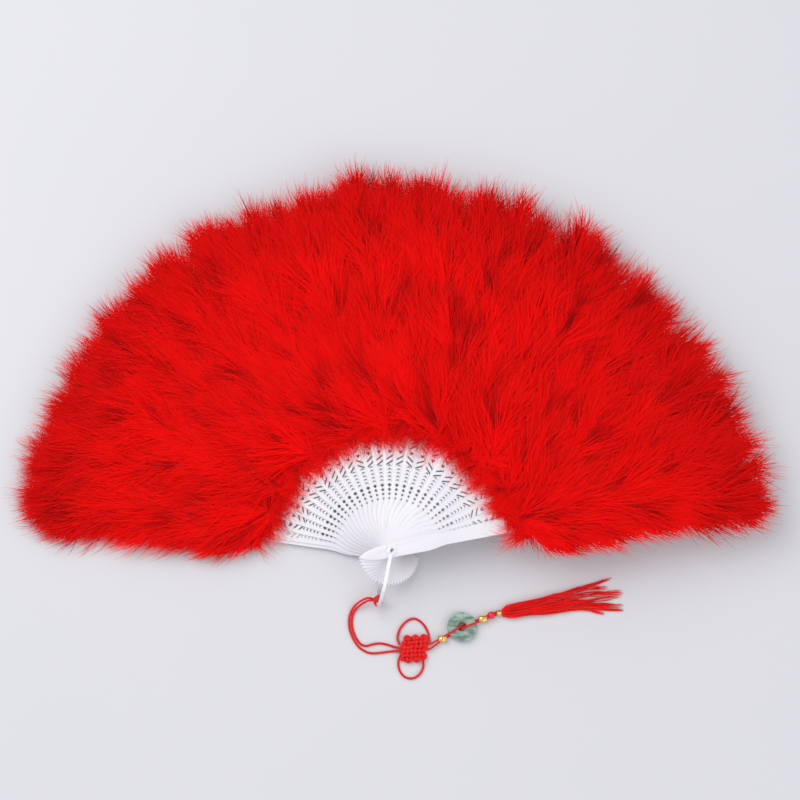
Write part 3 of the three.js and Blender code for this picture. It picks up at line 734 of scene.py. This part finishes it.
# Three turns of the cord round the strip, and the bridge that holds them, as in a lark's head
def addHitch():
    radius, along, height = bailBend()
    middle = radius - bail["thickness"] / 2
    turn = math.radians(hitch["bendAngle"])
    centre = Vector((along + middle * math.cos(turn), 0, height + middle * math.sin(turn)))
    outward = Vector((math.cos(turn), 0, math.sin(turn)))
    axis = Vector((-math.sin(turn), 0, math.cos(turn)))
    aside = axis.cross(outward)
    spin = Matrix.Rotation(math.radians(bail["heading"]), 3, "Z")
    half = hitch["turns"] * hitch["pitch"] / 2

    def at(angle, reach, share):
        local = centre + (outward * math.cos(angle) + aside * math.sin(angle)) * reach + axis * half * share
        return tuple(spin @ local)

    steps = hitch["turnSteps"] * hitch["turns"]
    coil = [
        at(2 * math.pi * i / hitch["turnSteps"], hitch["ringRadius"], 2 * i / steps - 1)
        for i in range(steps + 1)
    ]
    bridge = [at(math.radians(hitch["bridgeAngle"]), reach, share) for share, reach in hitch["bridge"]]
    return addWound("cordHitch", "cord_hitch", [coil, bridge], hitch["cordRadius"], cordRed)


# What hangs on the pendant strands
beads = {
    "bore": 0.00157,
    "floorGap": 0.00005,
    "smoothAngle": 50,
    "spacer": {"radius": 0.0024, "length": 0.0052, "flutes": 10},
    "cap": {"radius": 0.00205, "length": 0.0032, "flutes": 8},
    "first": {"place": (0.0366, -0.0552), "heading": 31},
    "second": {"place": (0.0631, -0.0423), "heading": 24},
    "third": {"place": (0.0738, -0.0382), "heading": 10},
    "red": {"place": (0.0687, -0.0397), "heading": 20, "radius": 0.0025, "sides": 40, "steps": 20},
}
ring = {
    "place": (0.0495, -0.0475),
    "level": 0.00145,
    "radius": 0.0096,
    "hole": 0.0029,
    "thickness": 0.0026,
    "edge": 0.0008,
    "edgeSteps": 6,
    "sides": 96,
}
# A cast spacer: rope-like rims at both ends of a barrel cut by flutes. All but counts of sides are shares of
# the bead's radius or of half its length
fluting = {
    "sides": 6,  # to each flute
    "profile": [  # radius and height, from the bead's middle to its end
        (1.0, 0.14), (0.96, 0.38), (0.86, 0.60), (0.76, 0.70),
        (0.88, 0.76), (0.93, 0.84), (0.90, 0.93), (0.80, 1.0),
    ],
    "cuts": [  # what is drawn in: these of every so many sides, between two heights and outside a radius
        {"every": 6, "sides": (0, 1, 5), "heights": (0, 0.65), "outside": 0.7, "drawIn": 0.9},
        {"every": 3, "sides": (0,), "heights": (0.72, 1.1), "outside": 0.75, "drawIn": 0.92},
    ],
}


def threadOn(piece, radius, spot):
    piece.location = (*spot["place"], beads["floorGap"] + radius)
    piece.rotation_mode = "ZYX"
    piece.rotation_euler = (0, math.radians(90), math.radians(spot["heading"]))


def fluted(size):
    radius, half = size["radius"], size["length"] / 2
    upper = [(r * radius, z * half) for r, z in fluting["profile"]] + [(beads["bore"], half)]
    profile = [(r, -z) for r, z in reversed(upper)] + upper
    sides = size["flutes"] * fluting["sides"]
    bead = turned(profile + profile[:1], sides)
    for cut in fluting["cuts"]:
        low, high = cut["heights"]
        openUp(bead)
        bpy.ops.mesh.select_mode(type="VERT")
        bpy.ops.mesh.select_all(action="DESELECT")
        bpy.ops.object.mode_set(mode="OBJECT")
        for vertex in bead.data.vertices:
            x, y, z = vertex.co
            side = round(math.atan2(y, x) / (2 * math.pi) * sides) % cut["every"]
            outside = math.hypot(x, y) > cut["outside"] * radius
            vertex.select = side in cut["sides"] and outside and low <= abs(z) / half < high
        bpy.ops.object.mode_set(mode="EDIT")
        bpy.ops.transform.resize(value=(cut["drawIn"], cut["drawIn"], 1))
        bpy.ops.object.mode_set(mode="OBJECT")
    return bead


def addBeads():
    made = []
    plan = [
        ("spacerBeadNear", "gold_bead_1", beads["spacer"], beads["first"]),
        ("spacerBeadFar", "gold_bead_2", beads["spacer"], beads["second"]),
        ("capBead", "gold_bead_3", beads["cap"], beads["third"]),
    ]
    for name, node, size, spot in plan:
        bead = fluted(size)
        threadOn(bead, size["radius"], spot)
        made.append(settle(bead, name, gold, "bail", node, beads["smoothAngle"]))
    red = beads["red"]
    start = math.asin(beads["bore"] / red["radius"])
    turns = np.linspace(start, math.pi - start, red["steps"] + 1)
    profile = [(red["radius"] * math.sin(t), -red["radius"] * math.cos(t)) for t in turns]
    bead = turned(profile + profile[:1], red["sides"])
    threadOn(bead, red["radius"], red)
    made.append(settle(bead, "roundBead", redBead, "bail", "red_bead", beads["smoothAngle"]))
    profile = roundedRing(ring["hole"], ring["radius"], 0, ring["thickness"], ring["edge"], ring["edgeSteps"])
    disc = turned(profile, ring["sides"])
    disc.location = (*ring["place"], ring["level"])
    made.append(settle(disc, "jadeRing", jade, "bail", "jade_disc", beads["smoothAngle"]))
    return made


# The tassel: threads out of the cap bead, gathered in a few locks that part near their ends
tassel = {
    "head": (0.0752, -0.0380, 0.0021),
    "belly": (0.0822, -0.0370, 0.0025),
    "locks": [  # what each lock passes on its way from the belly, where it ends, and its threads
        {"way": ((0.1055, -0.0279), (0.1243, -0.0231), (0.1478, -0.0143)), "threads": 13},
        {"way": ((0.1055, -0.0290), (0.1269, -0.0227), (0.1452, -0.0207)), "threads": 7},
        {"way": ((0.1053, -0.0316), (0.1301, -0.0262), (0.1551, -0.0243)), "threads": 11},
        {"way": ((0.1072, -0.0326), (0.1334, -0.0292), (0.1548, -0.0262)), "threads": 8},
        {"way": ((0.1053, -0.0337), (0.1236, -0.0314), (0.1400, -0.0312)), "threads": 11},
        {"way": ((0.1053, -0.0346), (0.1301, -0.0324), (0.1553, -0.0328)), "threads": 14},
        {"way": ((0.1053, -0.0361), (0.1301, -0.0338), (0.1553, -0.0364)), "threads": 11},
        {"way": ((0.1040, -0.0373), (0.1256, -0.0353), (0.1426, -0.0385)), "threads": 10},
    ],
    "threadRadius": 0.0003,
    "points": 22,
    "sides": 4,
    "step": 0.0005,
    "smoothAngle": 75,
    "headRadius": 0.0013,
    "bellyHalfWidth": 0.0042,
    "bellyHalfHeight": 0.0020,
    "bellyDrift": 0.0012,
    "bellyRound": 0.8,  # how much flatter the belly gets towards its sides
    "lockShare": 0.8,  # how far apart the locks lie in the belly
    "threadShare": 0.25,  # and how far the threads of one lock
    "halfWidths": (0.0017, 0.0013, 0.0010),  # of each lock, at the three places of its way
    "levels": (0.0021, 0.0016, 0.0009),  # of its middle there
    "halfHeights": (0.0014, 0.0010, 0.0004),
    "driftKept": 0.45,  # from one place of its way to the next
    "driftAdded": 0.75,
    "shoulder": (0.4, 0.8, 0.8),  # how far on its way to the belly a thread has its shoulder, by axis
    "longest": 0.001,  # past its lock's end
    "uneven": 0.006,
    "wave": 0.0008,
    "waveAngle": (6, 15),  # radians of wave along a thread
    "waveStart": (0, 6),  # and the angle at which it starts
    "lowest": 0.0004,
    "taper": 0.75,
    "tip": 0.3,
    "seed": 23,
}


# One thread's way: out of the cap bead, through the belly and along with its lock. lean runs from 1 for the
# uppermost lock to -1 for the lowest
def threadLine(rng, lean, lock):
    head, belly = np.array(tassel["head"]), np.array(tassel["belly"])
    angle = rng.uniform(0, 2 * math.pi)
    reach = tassel["headRadius"] * math.sqrt(rng.uniform())
    start = head + (0, reach * math.cos(angle), reach * math.sin(angle))
    high = tassel["bellyHalfHeight"] * math.sqrt(1 - tassel["bellyRound"] * lean**2)
    share = lean * tassel["lockShare"] + tassel["threadShare"] * rng.uniform(-1, 1)
    aside = tassel["bellyHalfWidth"] * share
    bow = belly + (rng.normal(0, tassel["bellyDrift"]), aside, high * rng.uniform(-1, 1))
    way = [start, start + (bow - start) * tassel["shoulder"], bow]
    drift = rng.uniform(-1, 1)
    for k, (x, y) in enumerate(lock["way"]):
        drift = tassel["driftKept"] * drift + tassel["driftAdded"] * rng.uniform(-1, 1)
        level = tassel["levels"][k] + tassel["halfHeights"][k] * rng.uniform(-1, 1)
        way.append(np.array((x, y + tassel["halfWidths"][k] * drift, level)))
    further = tassel["longest"] - abs(rng.normal(0, tassel["uneven"]))
    way[-1] = way[-1] + unit(way[-1] - way[-2]) * further
    line = smoothLine(way, tassel["step"])
    line = line[np.linspace(0, len(line) - 1, tassel["points"]).round().astype(int)]
    share = np.linspace(0, 1, tassel["points"])
    wiggle = np.sin(share * rng.uniform(*tassel["waveAngle"]) + rng.uniform(*tassel["waveStart"]))
    line[:, 1] += wiggle * tassel["wave"] * share
    line[:, 2] = np.maximum(line[:, 2], tassel["lowest"])
    return line


# Rings of vertices about a thread's line
def threadRings(line):
    tangent = unit(np.gradient(line, axis=0))
    side = unit(np.cross(tangent, (0, 0, 1.0)))
    up = np.cross(tangent, side)
    turn = (np.arange(tassel["sides"]) / tassel["sides"] * 2 * math.pi)[None, :, None]
    radius = tassel["threadRadius"] * np.linspace(1, tassel["taper"], tassel["points"])
    radius[-1] = tassel["threadRadius"] * tassel["tip"]
    return line[:, None] + radius[:, None, None] * (np.cos(turn) * side[:, None] + np.sin(turn) * up[:, None])


def addTassel():
    rng = np.random.default_rng(tassel["seed"])
    verts, faces = [], []
    for order, lock in enumerate(tassel["locks"]):
        lean = 1 - 2 * order / (len(tassel["locks"]) - 1)
        for _ in range(lock["threads"]):
            rings = threadRings(threadLine(rng, lean, lock))
            faces += tubeFaces(tassel["points"], tassel["sides"], len(verts))
            verts += rings.reshape(-1, 3).tolist()
    mesh = bpy.data.meshes.new("threadTassel")
    mesh.from_pydata(verts, [], faces)
    piece = newObject("threadTassel", mesh)
    settle(piece, "threadTassel", yarn, "bail", "tassel", tassel["smoothAngle"])


# Sticks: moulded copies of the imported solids, with their edges and pierced holes rounded over. Faces that
# turn less than flat from each other are made one, and edges that turn more than sharp are rounded, both in
# degrees
sticks = {"flat": 1.0, "sharp": 40.0, "edge": 0.00014, "edgeSteps": 2, "smoothAngle": 30}


def addSticks():
    for node, source in sorted(frame["nodes"].items()):
        if not node.startswith("rib_") and not node.endswith("_guard"):
            continue
        piece = newObject(node, source.data.copy())
        choose(piece)
        bpy.ops.mesh.customdata_custom_splitnormals_clear()
        openUp(piece)
        bpy.ops.mesh.remove_doubles(threshold=sameSpot)
        bpy.ops.mesh.dissolve_limited(angle_limit=math.radians(sticks["flat"]))
        bpy.ops.mesh.select_mode(type="EDGE")
        bpy.ops.mesh.select_all(action="DESELECT")
        bpy.ops.mesh.edges_select_sharp(sharpness=math.radians(sticks["sharp"]))
        bpy.ops.mesh.bevel(
            offset=sticks["edge"], segments=sticks["edgeSteps"], affect="EDGES", clamp_overlap=True
        )
        bpy.ops.object.mode_set(mode="OBJECT")
        body = source.parent.name.removeprefix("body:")
        settle(piece, f"moulded_{node}", plastic, body, node, sticks["smoothAngle"])


# The rivet's pin and head are turned about its axis. Their profiles are pairs of a radius and a height over
# the piece's foot, and then pairs of a radius and a depth under its top
rivet = {
    "sides": 48,
    "smoothAngle": 40,
    "pinFoot": [
        (0.0017, 0), (0.00191, 0.00006), (0.002, 0.0003), (0.002, 0.00065), (0.00185, 0.0008),
        (0.0011, 0.00081),
    ],
    "pinTop": [(0.0011, 0)],
    "headFoot": [(0.0019, 0), (0.002, 0.0001)],
    "headTop": [
        (0.002, 0.0007), (0.00194, 0.0005), (0.00176, 0.00026), (0.00144, 0.0001), (0.0011, 0),
        (0.00095, 0.00004), (0.0008, 0.00016), (0.00045, 0.00024), (0.0001, 0.00026),
    ],
}


def addRivet():
    for name, node, part in (("rivetPin", "pivot_rivet", "pin"), ("rivetHead", "rivet_cap", "head")):
        low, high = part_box(node)
        profile = [(radius, low.z + height) for radius, height in rivet[f"{part}Foot"]]
        profile += [(radius, high.z - depth) for radius, depth in rivet[f"{part}Top"]]
        piece = turned(profile, rivet["sides"], "NGON")
        settle(piece, name, steel, "back_guard", node, rivet["smoothAngle"])


# Points of lines in the XY plane that leave with a heading and turn evenly. All but points may be arrays
def bentLine(start, heading, turnBy, length, points):
    share = (np.arange(points - 1) + 0.5) / (points - 1)
    angle = heading[..., None] + turnBy[..., None] * share
    step = length[..., None] / (points - 1)
    x = np.concatenate([np.zeros_like(step), np.cumsum(np.cos(angle) * step, -1)], -1)
    y = np.concatenate([np.zeros_like(step), np.cumsum(np.sin(angle) * step, -1)], -1)
    return start[..., None, :] + np.stack([x, y, np.zeros_like(x)], -1)


# The down: feathers glued in rows along a stick's thin end, each a quill with tufts of soft barbs. Angles are
# in degrees, and what is called a drift is the spread of a random value
barb = {
    "count": 13,  # to a tuft
    "points": 6,
    "width": 0.0005,
    "widthRange": (0.7, 1.3),
    "tipWidth": 0.00006,
    "taper": 1.6,
    "rootShare": 0.55,  # how wide it is at its root
    "widensBy": 5,  # and how soon it gets wider
    "lengthRange": (0.72, 1.06),
    "drift": 9.0,
    "droop": 0.55,
    "facingDrift": 0.24,
    "slideFade": 1.3,
    "flare": 0.0026,  # how far the tips of a tuft drift apart
    "flareShape": (1, 1, 0.8),
    "flareCurve": 1.4,
    "wiggle": 0.0009,
    "wiggleAngle": (3, 8),  # radians of wave along a barb
    "toneDrift": 0.04,
    "toneRange": (0.03, 0.97),
}


# Ribbons of all the tufts, one row of arguments each: their points, side vectors, widths and tones
def tuftsOf(rng, root, heading, length, turnBy, rise, tone, along, widthShare=1.0):
    points, shape = barb["points"], (len(root), barb["count"])
    s = np.linspace(0, 1, points)
    centre = bentLine(root, heading, turnBy, length, points)
    centre[..., 2] += (length * np.sin(rise))[:, None] * (s - barb["droop"] * s**2)
    part = rng.uniform(*barb["lengthRange"], shape)[..., None, None]
    arm = (centre - root[:, None])[:, None] * part
    stray = np.radians(rng.normal(0, barb["drift"], shape))[..., None]
    arm[..., 0], arm[..., 1] = spun(arm[..., 0], arm[..., 1], stray)
    slide = rng.uniform(-1, 1, shape)[..., None, None] * along[:, None, None]
    line = root[:, None, None] + arm + slide * ((1 - s) ** barb["slideFade"])[None, None, :, None]
    flare = rng.normal(0, barb["flare"], (*shape, 1, 3)) * barb["flareShape"]
    line = line + flare * (s ** barb["flareCurve"])[None, None, :, None]
    for axis in (0, 1, 2):
        phase = rng.uniform(0, 2 * math.pi, shape)[..., None]
        beat = rng.uniform(*barb["wiggleAngle"], shape)[..., None]
        line[..., axis] += barb["wiggle"] * s * np.sin(beat * s + phase)
    facing = rng.normal(0, barb["facingDrift"], (*shape, 1, 3)) + (0, 0, 1)
    side = unit(np.cross(np.gradient(line, axis=2), facing))
    base = widthShare * barb["width"] * rng.uniform(*barb["widthRange"], shape)[..., None]
    opening = barb["rootShare"] + (1 - barb["rootShare"]) * np.minimum(1, s * barb["widensBy"])
    width = barb["tipWidth"] + base * (1 - s ** barb["taper"]) * opening
    tones = np.clip(tone[:, None] + rng.normal(0, barb["toneDrift"], shape), *barb["toneRange"])
    return (
        line.reshape(-1, points, 3),
        side.reshape(-1, points, 3),
        width.reshape(-1, points),
        tones.reshape(-1),
    )


# How much light a tuft gets, from 0 to 1. Most are bright, and a share of them lies in the dark
tuftTones = {
    "bright": (0.97, 0.06),  # the middle of the random values, and their spread
    "dark": (0.16, 0.1),
    "darkShare": 0.13,
    "featherDrift": 0.1,  # how much duller all of a feather may be
    "range": (0.04, 0.985),
}


def tonesOf(rng, count):
    bright = rng.normal(*tuftTones["bright"], count) - abs(rng.normal(0, tuftTones["featherDrift"]))
    dark = rng.normal(*tuftTones["dark"], count)
    isDark = rng.uniform(0, 1, count) < tuftTones["darkShare"]
    return np.clip(np.where(isDark, dark, bright), *tuftTones["range"])


feather = {
    "rootDrift": 0.003,
    "rootAside": 0.0015,
    "rootLevel": 0.0002,
    "headingDrift": 6.0,
    "lengthDrift": 0.07,
    "sideShare": 0.14,  # how much longer a feather is that leaves at sideHeading
    "sideHeading": 34,
    "straighten": 0.5,  # how much of its heading a feather loses again
    "bendDrift": 14.0,
    "quillPoints": 9,
    "quillRadius": 0.00035,
    "quillTip": 0.2,
    "liftBy": 1.7,  # a quill is fully lifted after its length over this
    "liftRange": (0.7, 1.3),
    "tufts": 46,
    "crowding": 0.85,  # under 1, more of them stand near the tip
    "spread": 46.0,
    "spreadLoss": 0.62,
    "spreadDrift": 9,
    "sweep": 12.0,
    "sweepDrift": 12,
    "rise": 9.0,
    "riseDrift": 11.0,
    "barbLength": 0.031,
    "rootLength": 0.72,
    "middleLength": 0.5,
    "middle": 0.8,
    "lengthRange": (0.8, 1.2),
    "tipStart": 0.9,  # past this the tufts stand on along the quill
    "tipSpread": 24,
    "tipLength": 0.8,
    "tipRange": (0.8, 1.15),
    "rootSlide": 0.0045,  # how far along the quill the barbs of one tuft are spread
}


# One feather in the stick's own frame: its quill's points, and the ribbons of its tufts. Where a row has a
# drift, its feathers vary by that share of the usual
def featherOf(rng, row, heading, growth):
    aside = heading / feather["sideHeading"]
    drift = row.get("drift", 1)
    heading = math.radians(heading + rng.normal(0, feather["headingDrift"] * drift))
    outward = row["root"] + rng.normal(0, feather["rootDrift"])
    root = np.array((outward, rng.uniform(-feather["rootAside"], feather["rootAside"]), feather["rootLevel"]))
    uneven = 1 + drift * rng.uniform(-feather["lengthDrift"], feather["lengthDrift"])
    length = row["length"] * uneven * growth * (1 + feather["sideShare"] * aside**2)
    bend = -feather["straighten"] * heading + math.radians(rng.normal(0, feather["bendDrift"] * drift))
    quill = bentLine(root, *(np.array(value) for value in (heading, bend, length)), feather["quillPoints"])
    t = np.linspace(0, 1, feather["quillPoints"])
    lift = np.sin(np.minimum(1, t * feather["liftBy"]) * math.pi / 2)
    quill[:, 2] += row["lift"] * lift * rng.uniform(*feather["liftRange"])
    count = feather["tufts"]
    at = ((np.arange(count) + rng.uniform(0, 1, count)) / count) ** feather["crowding"]
    base = np.stack([np.interp(at, t, quill[:, k]) for k in range(3)], 1)
    way = heading + bend * at
    side = np.where(rng.uniform(0, 1, count) < 0.5, -1, 1)
    ending = at > feather["tipStart"]
    spread = feather["spread"] * (1 - feather["spreadLoss"] * at)
    spread = spread + rng.normal(0, feather["spreadDrift"], count)
    leave = np.where(ending, rng.normal(0, feather["tipSpread"], count), side * spread)
    arrive = side * (feather["sweep"] + rng.normal(0, feather["sweepDrift"], count))
    leave, arrive = np.radians(leave), np.radians(arrive)
    reach = feather["rootLength"] + feather["middleLength"] * np.sin(math.pi * at ** feather["middle"])
    reach = reach * rng.uniform(*feather["lengthRange"], count)
    reach = np.where(ending, feather["tipLength"] * rng.uniform(*feather["tipRange"], count), reach)
    rise = np.radians(feather["rise"] + rng.normal(0, feather["riseDrift"], count)) * np.sign(row["lift"])
    tone = tonesOf(rng, count)
    along = np.stack([np.cos(way), np.sin(way), np.zeros(count)], 1) * feather["rootSlide"]
    reach = reach * feather["barbLength"]
    return quill, tuftsOf(rng, base, way + leave, reach, arrive - leave, rise, tone, along)


# Short tufts at the feathers' roots, which lie back over the sticks
collar = {
    "parts": [
        {"tufts": 44, "from": 0.0792, "length": 0.0106, "spread": 54, "widthShare": 0.45},
        {"tufts": 32, "from": 0.0780, "length": 0.0180, "spread": 36, "widthShare": 0.25},
    ],
    "halfWidth": 0.0105,
    "depth": 0.0085,
    "levels": (0.0006, 0.003),
    "lengthRange": (0.6, 1.25),
    "bendDrift": 30,
    "rise": (4, 7),
    "rootSlide": 0.002,
}


def collarOf(rng, part, setBack):
    count = part["tufts"]
    aside = rng.uniform(-1, 1, count) * collar["halfWidth"]
    outward = setBack + part["from"] + rng.uniform(0, collar["depth"], count)
    root = np.stack([outward, aside, rng.uniform(*collar["levels"], count)], 1)
    heading = np.radians(180 + rng.normal(0, part["spread"], count))
    length = part["length"] * rng.uniform(*collar["lengthRange"], count)
    turnBy = np.radians(rng.normal(0, collar["bendDrift"], count))
    rise = np.radians(rng.normal(*collar["rise"], count))
    tone = tonesOf(rng, count)
    along = np.tile((0, collar["rootSlide"], 0), (count, 1))
    return tuftsOf(rng, root, heading, length, turnBy, rise, tone, along, part["widthShare"])


# A tapered four-sided quill: its vertices and faces
def quillTube(quill):
    side = unit(np.cross(np.gradient(quill, axis=0), (0, 0, 1.0)))
    radius = feather["quillRadius"] * np.linspace(1, feather["quillTip"], len(quill))[:, None]
    rise = np.array((0, 0, 1.0)) * radius
    rings = np.stack([quill + side * radius, quill + rise, quill - side * radius, quill - rise], 1)
    return rings.reshape(-1, 3), np.array(tubeFaces(len(quill), 4))


plume = {
    "seed": 41,
    "rows": [
        {"root": 0.079, "length": 0.034, "lift": 0.0046, "headings": (-34, 32)},
        {"root": 0.083, "length": 0.050, "lift": 0.0050, "headings": (-12, 13)},
        {"root": 0.104, "length": 0.056, "lift": 0.0044, "headings": (-19, 1, 18)},
        {"root": 0.132, "length": 0.060, "lift": 0.0034, "headings": (-21, -2, 20)},
        {
            "root": 0.163,
            "length": 0.0555,
            "lift": 0.0020,
            "headings": (-35, -21, -7, 7, 21, 35),
            "drift": 0.4,
        },
        {"root": 0.144, "length": 0.070, "lift": -0.0008, "headings": (-14, 14)},
    ],
    "edgeRows": [  # more feathers on the outer side of the first and last plume, which hang past the guards
        {"root": 0.088, "length": 0.022, "lift": 0.002, "headings": (30,)},
        {"root": 0.105, "length": 0.034, "lift": 0.002, "headings": (28, 20)},
        {"root": 0.135, "length": 0.042, "lift": 0.002, "headings": (28, 20)},
        {"root": 0.164, "length": 0.050, "lift": 0.0015, "headings": (30, 22)},
    ],
    "mostOutward": 17.0,  # on that side no other feather leans further out than this
    "edgeReach": 0.023,  # and the fluff ends this far from the stick at its root
    "edgeGrowth": 0.19,  # and so much further out for each step along it
    "edgeRange": (0.72, 1.15),  # each barb by its own share
    "edgeFree": 0.55,  # up to this share of it nothing is drawn in
    "growth": 0.26,  # how much longer the outermost feathers of the last plume are than those of the first
    "innerGrowth": 0.04,
    "middleDip": 0.06,  # how much shorter they are on the plumes in the middle
    "rimRoot": 0.15,
    "setBack": {1: 0.0065, 27: 0.006},  # how much further out the fluff begins on the first and last plume
    "seatRise": 0.0004,  # above the underside of its stick
    "cap": 0.0105,  # no fluff stands higher over its seat than this
    "sagShare": 0.24,
    "mostSag": 1.1,
    "innerReach": 0.0795,
    "outerReach": 0.246,
    "floorGap": 0.0005,
    "floorRise": 0.0004,  # how much higher over the floor the tips stay
    # Painted shade at the rim: towards it the fluff's tone is lowered, so that it takes more of the shaded
    # colour
    "rimPaintedShade": 0.22,  # how much darker the fluff gets towards the rim
    "rimStart": 0.205,
    "rimWidth": 0.04,
    "barbEnds": (0.02, 0.98),  # the first OFBake value at a barb's root and tip
    "toneRange": (0.04, 0.97),  # the least and most of the second, its tone
    "toneWidth": 0.012,  # which is off by this at the barb's two edges
    # a quill's tone of about 0.2 gives it mostly the painted shade colour
    "quillPatch": ((0.1, 0.2), (0.14, 0.2), (0.14, 0.24), (0.1, 0.24)),  # a quill face's corners
}
spreadOfSticks = {"count": 26, "first": 169.1, "pitch": 5.2, "growth": 0.034, "front": 13.0}


# outward is 1 or -1 on the side where the plume ends the fan, and 0 on all others
def feathersOf(rng, number, outward):
    plan = [(row, heading) for row in plume["rows"] for heading in row["headings"]]
    if outward:
        most = plume["mostOutward"]
        plan = [(row, min(heading * outward, most) * outward) for row, heading in plan]
        plan += [(row, heading * outward) for row in plume["edgeRows"] for heading in row["headings"]]
    onward = number / (spreadOfSticks["count"] + 1)
    inner = 1 + plume["innerGrowth"] * onward
    outer = 1 + plume["growth"] * onward - plume["middleDip"] * 4 * onward * (1 - onward)
    feathers = []
    for row, heading in plan:
        growth = outer if row["root"] > plume["rimRoot"] else inner
        feathers.append(featherOf(rng, row, heading, growth))
    return feathers


# Vertices, faces and OFBake values of the ribbons
def ribbonsOf(sets):
    line, side, width, tone = (np.concatenate(column) for column in zip(*sets))
    count, points = width.shape
    half = side * width[..., None] / 2
    verts = np.stack([line - half, line + half], 2).reshape(-1, 3)
    index = (np.arange(count)[:, None] * points + np.arange(points - 1)[None, :]) * 2
    faces = np.stack([index, index + 1, index + 3, index + 2], -1).reshape(-1, 4)
    share = np.linspace(*plume["barbEnds"], points)
    u = np.stack([share[:-1], share[:-1], share[1:], share[1:]], 1)
    tipReach = np.hypot(line[:, -1, 0], line[:, -1, 1])
    # painted shade towards the rim
    tone = tone - plume["rimPaintedShade"] * np.clip((tipReach - plume["rimStart"]) / plume["rimWidth"], 0, 1)
    v = np.clip(tone, *plume["toneRange"])[:, None, None] + plume["toneWidth"] * np.array((-1, 1, 1, -1))
    uv = np.stack([np.broadcast_to(part, (count, points - 1, 4)).reshape(-1) for part in (u, v)], 1)
    return verts, faces, uv


# Lowers the fluff to its stick, with what stands too high pressed down, and lets it sag towards its tips
def laid(verts, body):
    seat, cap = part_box(body)[0].z + plume["seatRise"], plume["cap"]
    x, y, z = verts.T
    inner, outer = plume["innerReach"], plume["outerReach"]
    share = np.clip((np.hypot(x, y) - inner) / (outer - inner), 0, plume["mostSag"])
    z = np.where(z > 0, cap * np.tanh(z / cap), z) + seat - plume["sagShare"] * seat * share**2
    return np.stack([x, y, np.maximum(z, plume["floorGap"] + plume["floorRise"] * share)], 1)


# The fluff past the guard is combed into line with it, each vertex by its own slack
def combed(verts, outward, slack):
    reach = slack * (plume["edgeReach"] + plume["edgeGrowth"] * (verts[:, 0] - plume["innerReach"]))
    free = plume["edgeFree"] * reach
    aside = verts[:, 1] * outward
    drawn = free + (reach - free) * np.tanh((aside - free) / (reach - free))
    verts[:, 1] = np.where(aside > free, drawn, aside) * outward


def addPlume(number, node, body, angle, outward):
    rng = np.random.default_rng(plume["seed"] + number)
    feathers = feathersOf(rng, number, outward)
    setBack = plume["setBack"].get(number, 0)
    collars = [collarOf(rng, part, setBack) for part in collar["parts"]]
    ribbons = ribbonsOf([tufts for _, tufts in feathers] + collars)
    verts, faces, uv = ([part] for part in ribbons)
    first = fluff = len(ribbons[0])
    for quill, _ in feathers:
        tube, walls = quillTube(quill)
        verts.append(tube)
        faces.append(walls + first)
        uv.append(np.tile(plume["quillPatch"], (len(walls), 1)))
        first += len(tube)
    verts, faces, uv = (np.concatenate(parts) for parts in (verts, faces, uv))
    verts = laid(verts, body)
    if outward:
        slack = np.ones(len(verts))
        ends = 2 * barb["points"]
        slack[:fluff] = np.repeat(rng.uniform(*plume["edgeRange"], fluff // ends), ends)
        combed(verts, outward, slack)
    verts[:, 0], verts[:, 1] = spun(verts[:, 0], verts[:, 1], math.radians(angle))
    name = f"scarletDown{number:02d}"
    mesh = bpy.data.meshes.new(name)
    mesh.vertices.add(len(verts))
    mesh.vertices.foreach_set("co", verts.astype(np.float32).ravel())
    mesh.loops.add(faces.size)
    mesh.polygons.add(len(faces))
    mesh.polygons.foreach_set("loop_start", np.arange(0, faces.size, 4, dtype=np.int32))
    mesh.polygons.foreach_set("vertices", faces.astype(np.int32).ravel())
    mesh.polygons.foreach_set("use_smooth", np.ones(len(faces), bool))
    mesh.uv_layers.new(name="OFBake").uv.foreach_set("vector", uv.astype(np.float32).ravel())
    mesh.update(calc_edges=True)
    mesh.validate()
    mesh.materials.append(scarlet)
    hang(newObject(name, mesh), body, node)
    return len(faces)


def addDown():
    total = 0
    for number in range(1, spreadOfSticks["count"] + 1, 2):
        steps = number - 1
        angle = spreadOfSticks["first"] - steps * (spreadOfSticks["pitch"] + steps * spreadOfSticks["growth"])
        outward = 1 if number == 1 else 0
        total += addPlume(number, f"plume_{number:02d}", f"rib_{number:02d}", angle, outward)
    last = spreadOfSticks["count"] + 1
    return total + addPlume(last, "plume_front", "front_guard", spreadOfSticks["front"], -1)


addCamera()
addStudio()
print("camera and studio ready")
body = addKnotBody()
wound = addHitch()
hung = addBeads()
addTassel()
thick, thin = cords["diameter"], cords["pendantDiameter"]
layCord("cordOuter", "cord_strand_outer", outerStrandRoute, thick)
layCord("cordInner", "cord_strand_inner", innerStrandRoute, thick)
layCord("earUpper", "knot_ear_upper", upperEarRoute, thick)
layCord("earLower", "knot_ear_lower", lowerEarRoute, thick)
layCord("pendantUpper", "pendant_strand_upper", upperPendantRoute, thin)
layCord("pendantLower", "pendant_strand_lower", lowerPendantRoute, thin)
print("cords, knot, beads and tassel laid")
addSticks()
print("sticks moulded")
addRivet()
addBail()
print("rivet and bail made")
print("down made:", addDown(), "faces")

bpy.context.scene.view_settings.view_transform = "Standard"
